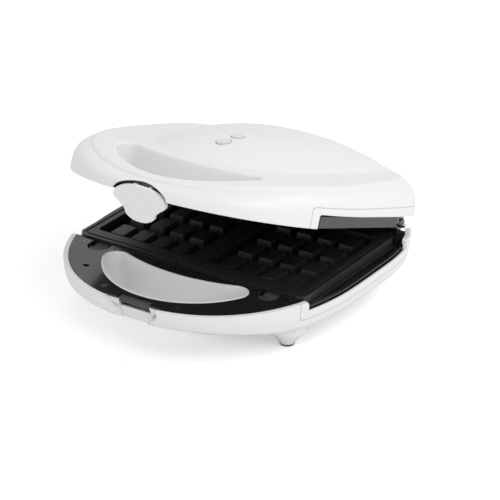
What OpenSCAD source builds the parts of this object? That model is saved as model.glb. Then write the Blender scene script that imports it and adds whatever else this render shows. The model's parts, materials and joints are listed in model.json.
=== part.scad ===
/* [Body] */
// Width across the widest section of the body
body_w = 249; // [245:1:262]
// Depth from the front of the handle to the rear edge
body_d = 264; // [262:1:280]
// Distance from the front edge back to the widest section
widest_y = 149; // [140:1:160]
// Height of the parting seam above the table
seam_z = 47; // [46:0.5:54]
// Thickness of the moulded shells
wall = 2.4; // [2:0.1:3]
// Width of the pale rim around the inner bezel
rim_w = 4; // [3.4:0.1:5]
// Gap between the two shells at the seam when shut
seam_gap = 0.8; // [0.6:0.1:1.2]

/* [Lid] */
// Opening angle of the lid at rest, from shut
lid_rest = 20.7; // [5:0.1:60]
// Height of the lid above the seam at its front edge
lid_front_h = 9.8; // [9.8:0.2:14]
// Height of the lid above the seam at its rear edge
lid_rear_h = 44.3; // [42:0.1:50]
// Height of the raised dome above the lid's sloping top
dome_h = 16.5; // [8:0.5:20]
// Width of the raised dome at its front half
dome_w = 148; // [120:1:160]
// Height of the steam cut-outs in the lid's sides and rear
lid_cut_h = 12.2; // [10:0.1:13]

/* [Handle] */
// Width of the front hand opening
grip_w = 133; // [110:1:138]
// Width of the bar in front of the hand opening
grip_bar = 20.4; // [19:0.2:23]
// Front-to-back size of the hand opening at its middle
grip_d = 42.4; // [34:0.2:43]

/* [Plates] */
// Width of each cooking plate
plate_w = 220; // [214:1:222]
// Depth of each cooking plate
plate_d = 142; // [138:1:143]
// Distance from the front edge of the body to the plates
plate_y = 82; // [82:0.5:86]
// Thickness of each plate from rim to underside
plate_h = 11; // [10:0.5:12]
// How far the lower plate stands above the seam
plate_proud = 1.5; // [1:0.1:2]
// Width of one waffle cavity
cavity_w = 92.8; // [86:0.2:95]
// Depth, front to back, of one waffle cavity
cavity_d = 113.6; // [108:0.2:120]
// How deep a waffle cavity is sunk
cavity_h = 8; // [6:0.5:8]
// Width of the ridge between the two cavities
divider_w = 15.2; // [12:0.2:18]
// Number of studs across a cavity
stud_nx = 4; // [3:1:4]
// Number of studs along a cavity
stud_ny = 4; // [3:1:4]
// Height of a stud
stud_h = 6; // [4:0.5:6]

/* [Hinge] */
// Distance from the front edge back to the hinge axis
hinge_y = 244.4; // [243:0.2:247]
// Height of the hinge axis above the seam
hinge_up = 1.6; // [1.2:0.1:2.4]
// Radius of the hinge pins
hinge_pin_r = 2.5; // [2:0.1:3]
// Distance of the base hinge ears from the middle
ear_x = 96; // [90:0.5:98]

/* [Latch] */
// Width of the latch head
latch_w = 50; // [46:1:51]
// Width of the latch tongue
tongue_w = 27; // [24:0.5:28]
// Thickness of the latch plate
latch_t = 3; // [2.6:0.1:3.2]
// Radius of the latch pin
latch_pin_r = 1.25; // [1:0.05:1.4]

/* [Feet] */
// Distance between the left and right feet
foot_span = 180; // [160:1:184]
// Radius of the rubber foot tips
foot_r = 6.2; // [5:0.1:7.5]
// Thickness of the rubber foot tips
foot_t = 1.5; // [1:0.1:2.5]

/* [Hidden] */

seg = 72;            // points round the body outline
front_n = 2.3;       // roundness of the outline in front of the widest section
rear_n = 4.8;        // squareness of the outline behind it
fit = 0.05;          // radial play of a pin in its hole
seat = 0.3;          // gap between pieces that rest on one another
face = 0.15;         // gap between flat pieces clamped together
origin_y = body_d / 2 + 4;   // the lid's raised rear hangs out behind the base
base_floor_z = seam_z - 36;    // underside of the base tub
deck_z = seam_z - 20;          // ledge behind the hinge, under the lid's rear wall
hinge_z = seam_z + hinge_up;
lid_z = seam_z + seam_gap;     // lower edge of the shut lid
bezel_t = 2;
bezel_in = rim_w + 0.2;
plate_gap = 1;                 // play round the plates in the bezels
base_plate_z = seam_z + plate_proud;           // rim of the lower plate
lid_plate_z = base_plate_z + seat;             // rim of the upper plate
cut_front = plate_y;           // front end of the side cut-outs
cut_rear = plate_y + plate_d - 1;
cut_h = 8.2;                   // depth of the base's side cut-outs
plate_skin = 2.5;              // metal thickness of the plates
cavity_taper = 0.94;
stud_taper = 0.84;
hinge_r = 6;                   // rounding of the hinge ears
ear_t = 2.5;
arm_x = ear_x + ear_t + 0.5;   // inner face of the lid's hinge arms
cover_r = 8;                   // hinge cover
post_r = 3.5;
screw_r = 1.5;
head_r = 2.8;

// ---------- outline and surface functions ----------

function spow(v, e) = sign(v) * pow(abs(v), e);

// Point of the body outline at angle t, moved in by ins
function outline_pt(t, ins) =
    let (c = cos(t), s = sin(t), n = s < 0 ? front_n : rear_n, b = (s < 0 ? widest_y : body_d - widest_y) - ins)
    [(body_w / 2 - ins) * spow(c, 2 / n), widest_y + b * spow(s, 2 / n)];
function ring(ins) = [for (i = [0 : seg - 1]) outline_pt(i * 360 / seg, ins)];
function ring_z(ins, z) = [for (p = ring(ins)) [p.x, p.y, z]];

// Half width of the outline at y, moved in by ins
function half_w(y, ins) =
    let (b = (y < widest_y ? widest_y : body_d - widest_y) - ins, n = y < widest_y ? front_n : rear_n)
    (body_w / 2 - ins) * pow(1 - pow(min(1, abs(y - widest_y) / b), n), 1 / n);
// Front edge of the outline at x
function front_y(x, ins) =
    widest_y - (widest_y - ins) * pow(1 - pow(abs(x) / (body_w / 2 - ins), front_n), 1 / front_n);

// Depth of the base's outer wall below the seam: shallow at the handle, deepest by the feet
function skirt(y) = let (s = min(1, y / 85)) 13.8 + 9 * s * s * (3 - 2 * s) + 2 * max(0, (y - 120) / 144);
// Edge of the flat floor: well in from the outline in front, close to it at the rear
function floor_ring(z) = [for (i = [0 : seg - 1])
    let (a = outline_pt(i * 360 / seg, 50), b = outline_pt(i * 360 / seg, 23), k = min(1, max(0, (a.y - 175) / 30)))
    [a.x + (b.x - a.x) * k, a.y + (b.y - a.y) * k, z]];
function skirt_ring(ins, k, dz) = [for (p = ring(ins)) [p.x, p.y, seam_z - skirt(p.y) * k + dz]];

// Lid height above the seam along the middle, without the dome
nose_drop = 15.5;
nose_len = 80;
function lid_h(y) =
    lid_front_h + nose_drop + (lid_rear_h - lid_front_h - nose_drop) * y / body_d
    - nose_drop * pow(max(0, 1 - y / nose_len), 2);
dome_y = 155;
dome_front = 83;
dome_rear = 103;
dome_flare = 0.25;
function dome(x, y) =
    let (d = y - dome_y, w = dome_w / 2 + dome_flare * max(0, d),
        q = min(1, pow(x / w, 2) + (d < 0 ? pow(d / dome_front, 2) : pow(d / dome_rear, 8))))
    dome_h * pow(1 - q, 0.91);
function top_z(x, y) = seam_z + lid_h(y) + dome(x, y);
crease_h = 2;        // the crease runs this far below the top
crease_in = 12.5;    // and this far in from the outline
shoulder_in = 17;    // where the rounded shoulder meets the top
function crease_z(y) = seam_z + lid_h(y) - crease_h;
// The lid's wall leans in more and more towards the crease, k of the way up
function lean(k) = crease_in * pow(k, 4.4);
function wall_ring(ins, k, dz = 0) = [for (i = [0 : seg - 1])
    let (p = outline_pt(i * 360 / seg, ins), top = crease_z(outline_pt(i * 360 / seg, crease_in).y))
    [p.x, p.y, lid_z + (top - lid_z) * k + dz]];
function shoulder_ring(a, off) =
    [for (p = ring(crease_in + (shoulder_in - crease_in) * (1 - cos(a)) + off))
        [p.x, p.y, crease_z(p.y) + (crease_h + dome(p.x, p.y)) * sin(a) - off]];
function top_ring(k, off) =
    [for (p = ring(shoulder_in + off)) let (x = p.x * k, y = widest_y + (p.y - widest_y) * k)
        [x, y, top_z(x, y) - off]];

// Hand opening: two arcs joined by round ends, grown by d
grip_end_r = 9;
grip_near_r = 74;
grip_far_r = 158;
function grip_near_c() = grip_bar + grip_near_r;
function grip_far_c() = grip_bar + grip_d + grip_far_r;
function arc(c, r, a0, a1, n) = [for (i = [0 : n]) let (a = a0 + (a1 - a0) * i / n) c + r * [cos(a), sin(a)]];
function grip_end_y() =
    let (ra = grip_near_r - grip_end_r, rb = grip_far_r + grip_end_r, d = grip_far_c() - grip_near_c())
    grip_near_c() + (ra * ra - rb * rb + d * d) / (2 * d);
function grip_end_x() = sqrt(pow(grip_near_r - grip_end_r, 2) - pow(grip_end_y() - grip_near_c(), 2));
function grip_scale() = grip_w / (2 * (grip_end_x() + grip_end_r));
function grip_pts(d) =
    let (ex = grip_end_x(), ey = grip_end_y(), k = grip_scale(),
        a1 = atan2(ey - grip_near_c(), ex), a2 = atan2(ey - grip_far_c(), ex),
        near = arc([0, grip_near_c()], grip_near_r + d, -180 - a1, a1, 28),
        right = arc([ex, ey], grip_end_r + d, a1, a2 + 180, 8),
        far = arc([0, grip_far_c()], grip_far_r - d, a2, -180 - a2, 20),
        left = arc([-ex, ey], grip_end_r + d, -a2, -a1 + 180, 8))
    [for (p = concat(near, right, far, left)) [p.x * k, p.y]];

// Closed curve through a few points, smoothed
function spline_pt(a, b, c, d, t) =
    0.5 * (2 * b + (c - a) * t + (2 * a - 5 * b + 4 * c - d) * t * t + (3 * b - a - 3 * c + d) * t * t * t);
function smooth(p, n) = let (m = len(p))
    [for (i = [0 : m - 1], j = [0 : n - 1])
        spline_pt(p[(i + m - 1) % m], p[i], p[(i + 1) % m], p[(i + 2) % m], j / n)];
function mirrored(p) = concat(p, [for (i = [len(p) - 2 : -1 : 1]) [-p[i].x, p[i].y]]);

// ---------- shape helpers ----------

// Solid through a stack of rings, closed by a point at each end
module loft(rings, start, end) {
    n = len(rings[0]);
    m = len(rings);
    pts = concat([start], [for (r = rings) each r], [end]);
    faces = concat(
        [for (i = [0 : n - 1]) [0, 1 + (i + 1) % n, 1 + i]],
        [for (j = [0 : m - 2], i = [0 : n - 1], k = [0, 1])
            let (a = 1 + j * n + i, b = 1 + j * n + (i + 1) % n) k == 0 ? [a, b, b + n] : [a, b + n, a + n]],
        [for (i = [0 : n - 1]) [1 + (m - 1) * n + i, 1 + (m - 1) * n + (i + 1) % n, 1 + m * n]]);
    polyhedron(pts, faces, convexity = 6);
}
module round_rect(w, d, r) {
    square([w - 2 * r, d], center = true);
    square([w, d - 2 * r], center = true);
    for (x = [-1, 1], y = [-1, 1]) translate([x * (w / 2 - r), y * (d / 2 - r)]) circle(r, $fn = 32);
}
module both() {
    children();
    mirror([1, 0, 0]) children();
}
// Prism whose profile lies in the Y-Z plane, from x0 to x1
module along_x(x0, x1) translate([x0, 0, 0]) rotate([90, 0, 90]) linear_extrude(x1 - x0) children();
module plate_rect(grow, r = 8) translate([0, plate_y + plate_d / 2]) round_rect(plate_w + 2 * grow, plate_d + 2 * grow, r + grow);
module place_base() translate([0, -origin_y, 0]) children();
// Lid pieces are drawn shut and turned open about the hinge
module place_lid() place_base() translate([0, hinge_y, hinge_z]) rotate([-lid_rest, 0, 0])
    translate([0, -hinge_y, -hinge_z]) children();
// Upper-half pieces that match a lower-half piece are its mirror in the plane between the plates
module turned_over() translate([0, 0, base_plate_z + seat / 2]) mirror([0, 0, 1]) translate([0, 0, -base_plate_z - seat / 2]) children();

// ---------- latch frame: h up the plate, n towards the hinge ----------

latch_ref_y = 4;
latch_ref_z = lid_z + 2.4;
latch_axis_h = 1.5;
latch_axis_n = 4.4;
latch_axis_y = latch_ref_y - latch_axis_h * sin(lid_rest) + latch_axis_n * cos(lid_rest);
latch_axis_z = latch_ref_z + latch_axis_h * cos(lid_rest) + latch_axis_n * sin(lid_rest);
module latch_frame() translate([0, latch_ref_y, latch_ref_z]) rotate([lid_rest, 0, 0]) children();
function latch_back(z) = latch_ref_y + (latch_ref_z - z) * tan(lid_rest) + latch_t / 2 / cos(lid_rest);
facet_gap = 0.6;
facet_w = 30;                  // way down through the base's lower edge for the tongue
recess_play = 1;
panel_top = seam_z - 8.6;      // the hook goes in above this
bezel_under = seam_z - bezel_t - face;
catch_z = seam_z - 4.9;
catch_y = latch_back(catch_z) + 1.2;
catch_d = 3.6;
catch_end = 2.3;               // the catch rests on the recess's back by its ends
module latch_outline() polygon(smooth(mirrored([[0, 5], [latch_w * 0.23, 4], [latch_w * 0.4, 0.9], [latch_w * 0.49, -4],
    [latch_w * 0.48, -8.4], [tongue_w / 2 + 5.4, -12.3], [tongue_w / 2 + 1.2, -16.1], [tongue_w / 2 - 0.8, -20.6],
    [6.6, -24], [0, -24.8]]), 5));
// Space of the shut latch square to its plate, open at the bottom, from its back outwards
module latch_space(grow, back) latch_frame() rotate([90, 0, 0])
    translate([0, 0, -latch_t / 2 - facet_gap - back]) linear_extrude(40 + back) offset(r = grow) {
        latch_outline();
        translate([recess_play - facet_w / 2, -40]) square([facet_w - 2 * recess_play, 28]);
    }

// ---------- base ----------

module base_outer() loft([ring_z(0.6, seam_z), ring_z(0, seam_z - 0.6), skirt_ring(0.8, 0.5, 0), skirt_ring(2.5, 0.9, 0),
    skirt_ring(4.5, 1, -1), skirt_ring(20, 1, -8), floor_ring(base_floor_z)], [0, widest_y, seam_z], [0, widest_y, base_floor_z]);
module base_tub() {
    loft([floor_ring(base_floor_z + wall), skirt_ring(20 + wall, 1, wall - 8), skirt_ring(4.5 + wall, 1, wall - 2),
            skirt_ring(1.6 + wall, 0.5, 0), ring_z(wall, seam_z - 6), ring_z(rim_w, seam_z - 4), ring_z(rim_w, seam_z),
            ring_z(0.6, seam_z), ring_z(0, seam_z - 0.6), skirt_ring(0.8, 0.5, 0), skirt_ring(2.5, 0.9, 0),
            skirt_ring(4.5, 1, -1), skirt_ring(20, 1, -8), floor_ring(base_floor_z)],
        [0, widest_y, base_floor_z + wall], [0, widest_y, base_floor_z]);
}
foot_y = [90, 212];
foot_flare = 7.5;
foot_h = 15;
module foot_posts() both() for (y = foot_y) translate([foot_span / 2, y, foot_t])
    cylinder(r1 = foot_r, r2 = foot_r + foot_flare, h = base_floor_z + 10 - foot_t, $fn = 64);
// Hollow screw post up to z; the shell's underside trims its foot
module screw_post(p, z) translate([p.x, p.y, 0]) difference() {
    cylinder(r = post_r, h = z, $fn = 32);
    translate([0, 0, z - 12]) cylinder(r = screw_r - 0.1, h = 13, $fn = 24);
}
bezel_screw_pts = [[35, 17.2], [67.2, plate_y - 6.2], [96.4, plate_y - 6.2]];
rear_screw_pts = [[60, plate_y + plate_d + 7], [91, plate_y + plate_d + 7]];
bracket_t = 1.6;
reflector_post = [[80, plate_y + 24], [80, plate_y + plate_d - 24]];
reflector_z = base_plate_z - plate_h - 10;    // underside of the lower reflector tray
module base_posts() intersection() {
    base_outer();
    both() {
        for (p = bezel_screw_pts) screw_post(p, bezel_under);
        screw_post(rear_screw_pts[0], bezel_under);
        screw_post(rear_screw_pts[1], bezel_under - bracket_t - face);
        for (p = reflector_post) screw_post(p, reflector_z - face);
    }
}
// Back and sides of the recess for the latch
module latch_cup() difference() {
    intersection() {
        base_outer();
        latch_space(recess_play + wall, wall);
        translate([-body_w / 2, -5, 0]) cube([body_w, 60, bezel_under]);
    }
    translate([-facet_w / 2, 0, panel_top]) cube([facet_w, 40, 40]);
    translate([-facet_w / 2 - catch_end - face, 0, catch_z - face]) cube([facet_w + 2 * (catch_end + face), 40, 40]);
}
terminal_x = 24;
module base_shell() place_base() color("white") {
    difference() {
        union() {
            base_tub();
            foot_posts();
            base_posts();
            latch_cup();
            // walls of the hand opening
            intersection() {
                linear_extrude(lid_z - seat) difference() {
                    polygon(grip_pts(wall));
                    polygon(grip_pts(0));
                }
                union() {
                    base_outer();
                    translate([-body_w / 2, 0, seam_z - 2]) cube([body_w, body_d, 4]);
                }
            }
            // ledge and wall behind the hinge
            intersection() {
                base_outer();
                union() {
                    translate([-body_w / 2, hinge_y - 2.4, deck_z - wall]) cube([body_w, 40, wall]);
                    both() translate([ear_x - 14, hinge_y - 2.4, deck_z - wall]) cube([40, 2.4, hinge_z - 9.4 - deck_z + wall]);
                }
            }
        }
        translate([-body_w, hinge_y, deck_z]) cube([2 * body_w, 60, 60]);
        both() translate([plate_w / 2 - 8, cut_front, seam_z - cut_h]) cube([60, cut_rear - cut_front, 40]);
        translate([0, 0, -5]) linear_extrude(seam_z + 10) polygon(grip_pts(0));
        // room for the hinge ears and arms in the rear corners
        both() translate([ear_x - 1.6, hinge_y - 8.6, hinge_z - 9]) cube([11, 20, 40]);
        latch_space(recess_play, 0);
        for (x = [-terminal_x, terminal_x]) translate([x, cover_screw_y, 0]) cylinder(r = screw_r + 0.2, h = 20, $fn = 24);
        translate([0, box_y + box_d - 11, 0]) cylinder(r = 6, h = 20, $fn = 48);
        // thin lines round the side cut-outs, outside
        both() for (y = [cut_front - 2.2, cut_rear + 1.4]) translate([plate_w / 2 - 20, y, seam_z - cut_h - 2]) difference() {
            cube([80, 0.8, 20]);
            translate([-1, -1, -1]) cube([half_w(y, 0) - plate_w / 2 + 20.4, 4, 40]);
        }
    }
}

clip_x = 82.4;
clip_y = plate_y - 8;       // pivot of the plate clips
clip_dz = -7;               // below the seam
clip_pocket_w = 19;
clip_w = 12;
clip_pin_r = 1.25;
clip_lug = [8.8, 10.2];     // inner and outer face of a pin's lugs
module clip_pockets() for (x = [-clip_x, clip_x]) translate([x, plate_y - 17.5 + clip_pocket_w / 2]) {
    circle(clip_pocket_w / 2, $fn = 48);
    translate([-clip_pocket_w / 2, 0]) square([clip_pocket_w, 20]);
}
module clip_lugs(z) for (x = [-clip_x, clip_x], s = [-1, 1])
    translate([x + s * (clip_lug[0] + clip_lug[1]) / 2 - (clip_lug[1] - clip_lug[0]) / 2, clip_y - 3, z + clip_dz - 2.6]) difference() {
        cube([clip_lug[1] - clip_lug[0], 6, -clip_dz + 2.6 - bezel_t / 2]);
        translate([-1, 3, 2.6]) rotate([0, 90, 0]) cylinder(r = clip_pin_r + 0.02, h = 5, $fn = 32);
    }
trough_in = rim_w + 1;      // the trough's outer wall stands clear of the shell
trough_z = seam_z - 12;
trough_lip = seam_z - 5.6;
bezel_rear = hinge_y - 8.6;
slot_x = -70;
module screw_holes(pts, r) both() for (p = pts) translate([p.x, p.y]) circle(r, $fn = 32);
module bezel_plan(y0, y1, ins = bezel_in) difference() {
    intersection() {
        polygon(ring(ins));
        translate([-body_w, y0]) square([2 * body_w, y1 - y0]);
    }
    plate_rect(plate_gap);
}
module trough_plan(y0, y1, ins = trough_in) intersection() {
    bezel_plan(y0, y1, ins);
    both() translate([plate_w / 2 - 6, 0]) square([40, body_d]);
}
// Slots in the plate frame's rear for the lugs of a plate with its rim at z
module lug_slots(z) for (x = rear_lug_x) translate([x - lug_w / 2 - 0.4, plate_y + plate_d, z]) cube([lug_w + 0.8, 4, 4.2]);
module base_bezel() place_base() color("#1c1c1e") difference() {
    union() {
        translate([0, 0, seam_z - bezel_t]) linear_extrude(bezel_t) difference() {
            union() {
                bezel_plan(-10, cut_front - 0.4);
                bezel_plan(cut_rear + 0.4, bezel_rear);
            }
            polygon(grip_pts(wall + 0.15));
            clip_pockets();
        }
        // side troughs: floor, walls, end walls and the lip over the shell's edge
        translate([0, 0, trough_z]) linear_extrude(1.6) trough_plan(cut_front - 2, cut_rear + 2);
        translate([0, 0, trough_z]) linear_extrude(trough_lip - trough_z) difference() {
            trough_plan(cut_front - 0.4, cut_rear + 0.4);
            difference() {
                polygon(ring(trough_in + 1.6));
                plate_rect(plate_gap + 1.6);
            }
        }
        for (e = [cut_front - 2, cut_rear + 0.4]) translate([0, 0, trough_z]) linear_extrude(seam_z - trough_z) trough_plan(e, e + 1.6);
        translate([0, 0, seam_z - cut_h + seat]) linear_extrude(trough_lip - seam_z + cut_h - seat) difference() {
            trough_plan(cut_front - 0.4, cut_rear + 0.4, trough_in - 1.2);
            polygon(ring(trough_in + 1.6));
        }
        clip_lugs(seam_z);
        // rim round the plate opening
        translate([0, 0, seam_z - 6]) linear_extrude(6.3) intersection() {
            difference() {
                plate_rect(plate_gap + 1.6);
                plate_rect(plate_gap);
            }
            union() {
                translate([-clip_x + clip_pocket_w / 2, 0]) square([2 * clip_x - clip_pocket_w, plate_y + 20]);
                translate([-plate_w / 2, plate_y + plate_d - 8]) square([plate_w, 20]);
            }
        }
    }
    translate([0, 0, seam_z - 3]) linear_extrude(5) screw_holes(concat(bezel_screw_pts, rear_screw_pts), screw_r + 0.15);
    translate([0, 0, seam_z - 0.9]) linear_extrude(5) screw_holes(concat(bezel_screw_pts, rear_screw_pts), head_r + 0.3);
    lug_slots(base_plate_z - 9);
    // room for the latch and its catch
    latch_space(recess_play, 0);
    translate([-facet_w / 2 - 0.2, -5, seam_z - 20]) cube([facet_w + 0.4, catch_y + catch_d + 5.3, 40]);
    translate([slot_x, front_y(slot_x, 0) + 20, seam_z - 5]) linear_extrude(10) { circle(2, $fn = 32); translate([2, 0]) circle(2, $fn = 32); }
    // hinge ears pass the rear edge
    both() translate([ear_x - 1, hinge_y - 9, seam_z - 6]) cube([ear_t + 2, 10, 10]);
}

// Cooking plate: rim up at z = rim, cast thin, open underneath
lug_w = 12;
rear_lug_x = [-60, 60];
module stud_at(x, y, z) translate([x, y, z]) linear_extrude(stud_h, scale = stud_taper)
    square([cavity_w / stud_nx * 0.64, cavity_d / stud_ny * 0.78], center = true);
module cavity_box(grow, z, h) for (s = [-1, 1])
    translate([s * (divider_w + cavity_w) / 2, plate_y + plate_d / 2, z]) linear_extrude(h) round_rect(cavity_w + 2 * grow, cavity_d + 2 * grow, 4);
module cooking_plate(rim) {
    difference() {
        translate([0, 0, rim - plate_h]) linear_extrude(plate_h) plate_rect(0);
        difference() {
            translate([0, 0, rim - plate_h - 1]) linear_extrude(plate_h - plate_skin + 1) plate_rect(-plate_skin, 8);
            cavity_box(plate_skin, rim - plate_h - 2, plate_h + 4);
        }
        cavity_box(0, rim - cavity_h, cavity_h + 1);
        // shallow groove just inside the rim
        translate([0, 0, rim - 0.8]) linear_extrude(2) difference() {
            plate_rect(-3, 8);
            plate_rect(-5, 8);
        }
    }
    for (s = [-1, 1], i = [0 : stud_nx - 1], j = [0 : stud_ny - 1])
        stud_at(s * (divider_w + cavity_w) / 2 + (i - (stud_nx - 1) / 2) * cavity_w / stud_nx * 0.87,
            plate_y + plate_d / 2 + (j - (stud_ny - 1) / 2) * cavity_d / stud_ny, rim - cavity_h);
    for (x = [-clip_x, clip_x]) translate([x - lug_w / 2, plate_y - 1.7, rim - 7.6]) cube([lug_w, 1.9, 2.4]);
    for (x = rear_lug_x) translate([x - lug_w / 2, plate_y + plate_d - 0.2, rim - 7.6]) cube([lug_w, 2, 2.4]);
}
module base_plate() place_base() color("#2a2a2c") cooking_plate(base_plate_z);

// Tubular heating element, bent round under both cavities
heater_r = 3.2;
heater_w = 156;
heater_d = 82;
heater_bend = 14;
module heater_bend_at(x, y, a) translate([x, y, 0]) rotate([0, 0, a]) rotate_extrude(angle = 90, $fn = 48)
    translate([heater_bend, 0]) circle(heater_r, $fn = 24);
module rod_x(x0, x1, y, r) translate([x0, y, 0]) rotate([0, 90, 0]) cylinder(r = r, h = x1 - x0, $fn = 24);
module rod_y(x, y0, y1, r) translate([x, y0, 0]) rotate([-90, 0, 0]) cylinder(r = r, h = y1 - y0, $fn = 24);
module heater(z) translate([0, plate_y + plate_d / 2, z]) {
    w = heater_w / 2;
    d = heater_d / 2;
    b = heater_bend;
    tail = 22;
    rod_x(-w + b, w - b, -d, heater_r);
    both() {
        rod_y(w, -d + b, d - b, heater_r);
        rod_x(tail + b, w - b, d, heater_r);
        heater_bend_at(w - b, -d + b, -90);
        heater_bend_at(w - b, d - b, 0);
        translate([tail + b, d + b, 0]) rotate([0, 0, 180]) rotate_extrude(angle = 90, $fn = 48) translate([b, 0]) circle(heater_r, $fn = 24);
        rod_y(tail, d + b, d + b + 4, heater_r);
        rod_y(tail, d + b + 4, d + b + 18, 1.2);
    }
}
base_heater_z = base_plate_z - plate_h - heater_r - seat;
module base_heater() place_base() color("#6b6b6b") heater(base_heater_z);

// Bright sheet tray that carries the plate and keeps heat off the shell
tray_in = 3;
module reflector(rim, floor) {
    h = rim - plate_h - seat - floor;
    difference() {
        union() {
            translate([0, 0, floor]) linear_extrude(h) plate_rect(-tray_in);
            translate([0, 0, floor + h - 0.8]) linear_extrude(0.8) plate_rect(-0.4);
        }
        translate([0, 0, floor + 0.8]) linear_extrude(h) plate_rect(-tray_in - 0.8);
        for (p = reflector_post) both() translate([p.x, p.y, floor - 1]) cylinder(r = screw_r + 0.2, h = 4, $fn = 24);
        // the element's tails leave through the rear wall
        both() translate([22, plate_y + plate_d - 10, floor + h - heater_r - 1.1]) rotate([-90, 0, 0]) cylinder(r = heater_r + 0.8, h = 16, $fn = 32);
    }
}
module base_reflector() place_base() color("silver") reflector(base_plate_z, reflector_z);

module latch_catch() place_base() color("#58595b") {
    translate([-facet_w / 2 - catch_end, catch_y, catch_z]) cube([facet_w + 2 * catch_end, catch_d + 2, bezel_under - face - catch_z]);
    translate([0.4 - facet_w / 2, catch_y, catch_z]) cube([facet_w - 0.8, catch_d, seam_z - 0.6 - catch_z]);
}

module thermostat() place_base() color("#c9c2ae") translate([0, plate_y + plate_d / 2 - 14, base_plate_z - plate_h - seat]) {
    translate([0, 0, -5]) cylinder(r = 8, h = 3.6, $fn = 48);
    translate([0, 0, -1.6]) cylinder(r = 5.5, h = 1.6, $fn = 48);
    translate([-13, -4, -5.8]) cube([26, 8, 0.9]);
    for (x = [-11, 11]) translate([x, 0, -5.8]) cylinder(r = 2, h = 5.8, $fn = 24);
}
module thermal_fuse() place_base() color("#e9e4d2") translate([0, plate_y + plate_d / 2 + 12, reflector_z + 0.8 + face]) {
    translate([-8, 0, 2.6]) rotate([0, 90, 0]) cylinder(r = 2.2, h = 16, $fn = 32);
    translate([-12, 0, 2.6]) rotate([0, 90, 0]) cylinder(r = 0.6, h = 24, $fn = 24);
    translate([-3, -4, 0]) cube([6, 8, 0.8]);
    translate([-1, -2.4, 0.4]) cube([2, 4.8, 1]);
}

// Wiring box under the rear of the base
box_w = 62;
box_d = 40;
box_z = 4;
box_y = hinge_y - 47;
box_wall = 2;
cover_screw_y = box_y + 5.2;
gland_r = 3.3;                 // flange of the cord gland
gland_z = (box_z + base_floor_z) / 2;
module terminal_block() place_base() color("#efe9da") translate([0, box_y + 22, base_floor_z + wall + face]) difference() {
    translate([-18, -14, 0]) cube([36, 12, 9]);
    for (i = [-1 : 1]) {
        translate([i * 11, -8, 3.5]) cylinder(r = 2.4, h = 8, $fn = 24);
        translate([i * 11, -8, 2.6]) rotate([-90, 0, 0]) cylinder(r = 1.4, h = 12, $fn = 24);
    }
}
module terminal_cover() place_base() color("white") difference() {
    translate([0, box_y + box_d / 2, box_z]) linear_extrude(base_floor_z - face - box_z) round_rect(box_w, box_d, 5);
    translate([0, box_y + box_d / 2, box_z + box_wall]) linear_extrude(20) difference() {
        round_rect(box_w - 2 * box_wall, box_d - 2 * box_wall, 3.5);
        for (x = [-terminal_x, terminal_x]) translate([x, cover_screw_y - box_y - box_d / 2]) circle(post_r, $fn = 32);
    }
    for (x = [-terminal_x, terminal_x]) translate([x, cover_screw_y, box_z - 1]) {
        cylinder(r = screw_r + 0.2, h = 12, $fn = 24);
        cylinder(r = head_r + 0.3, h = 2.4, $fn = 32);
    }
    translate([0, box_y + box_d - box_wall - 1, gland_z]) rotate([-90, 0, 0]) cylinder(r = gland_r - 0.5, h = box_wall + 2, $fn = 32);
}
module cord_gland() place_base() color("#202022") translate([0, box_y + box_d, gland_z]) rotate([-90, 0, 0]) difference() {
    union() {
        translate([0, 0, face]) cylinder(r = gland_r, h = 1.4, $fn = 48);
        translate([0, 0, -box_wall - 0.1]) cylinder(r = gland_r - 0.6, h = box_wall + 1, $fn = 48);
    }
    translate([0, 0, -5]) cylinder(r = 1.6, h = 12, $fn = 32);
}

// Wires from the terminals up to the element's pins
wire_r = 1;
module supply_wires() place_base() color("#b5483a") {
    y1 = plate_y + plate_d / 2 + heater_d / 2 + heater_bend + 19.05;
    z1 = base_floor_z + wall + face + 2.6;
    both() {
        translate([22, y1, z1]) cylinder(r = wire_r, h = base_heater_z - z1, $fn = 24);
        translate([0, 0, z1]) rod_x(11, 22, y1, wire_r);
        translate([0, 0, z1]) rod_y(11, box_y + 20, y1, wire_r);
        for (p = [[22, base_heater_z], [22, z1], [11, z1]]) translate([p.x, y1, p.y]) sphere(wire_r, $fn = 24);
    }
}

module countersunk(z, l) translate([0, 0, z]) {
    translate([0, 0, -l]) cylinder(r = screw_r, h = l, $fn = 24);
    difference() {
        cylinder(r = head_r, h = 0.9, $fn = 32);
        for (a = [0, 90]) rotate([0, 0, a]) translate([-1.6, -0.3, 0.4]) cube([3.2, 0.6, 1]);
    }
}
module bezel_screws() place_base() color("#3a3a3c") {
    both() for (p = bezel_screw_pts) translate([p.x, p.y, 0]) {
        countersunk(seam_z - 0.9, 1.2);
        translate([0, 0, seam_z - 10]) cylinder(r = screw_r - 0.2, h = 9, $fn = 24);
    }
    // the outer rear screws also hold the hinge brackets
    both() for (i = [0, 1]) translate([rear_screw_pts[i].x, rear_screw_pts[i].y, 0]) {
        countersunk(seam_z - 0.9, i == 0 ? 1.2 : 1.3 + bracket_t);
        translate([0, 0, seam_z - 10]) cylinder(r = screw_r - 0.2, h = 8, $fn = 24);
    }
}
module reflector_screws() place_base() color("silver") both() for (p = reflector_post) translate([p.x, p.y, 0]) {
    translate([0, 0, reflector_z + 0.8]) cylinder(r = head_r, h = 1.6, $fn = 32);
    translate([0, 0, reflector_z - 8]) cylinder(r = screw_r - 0.2, h = 9, $fn = 24);
}
module cover_screws() place_base() color("silver") for (x = [-terminal_x, terminal_x]) translate([x, cover_screw_y, 0]) {
    translate([0, 0, box_z + 0.2]) cylinder(r = head_r, h = 1.2, $fn = 32);
    translate([0, 0, box_z + 0.6]) cylinder(r = screw_r, h = base_floor_z + wall - box_z + 2, $fn = 24);
}
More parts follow.
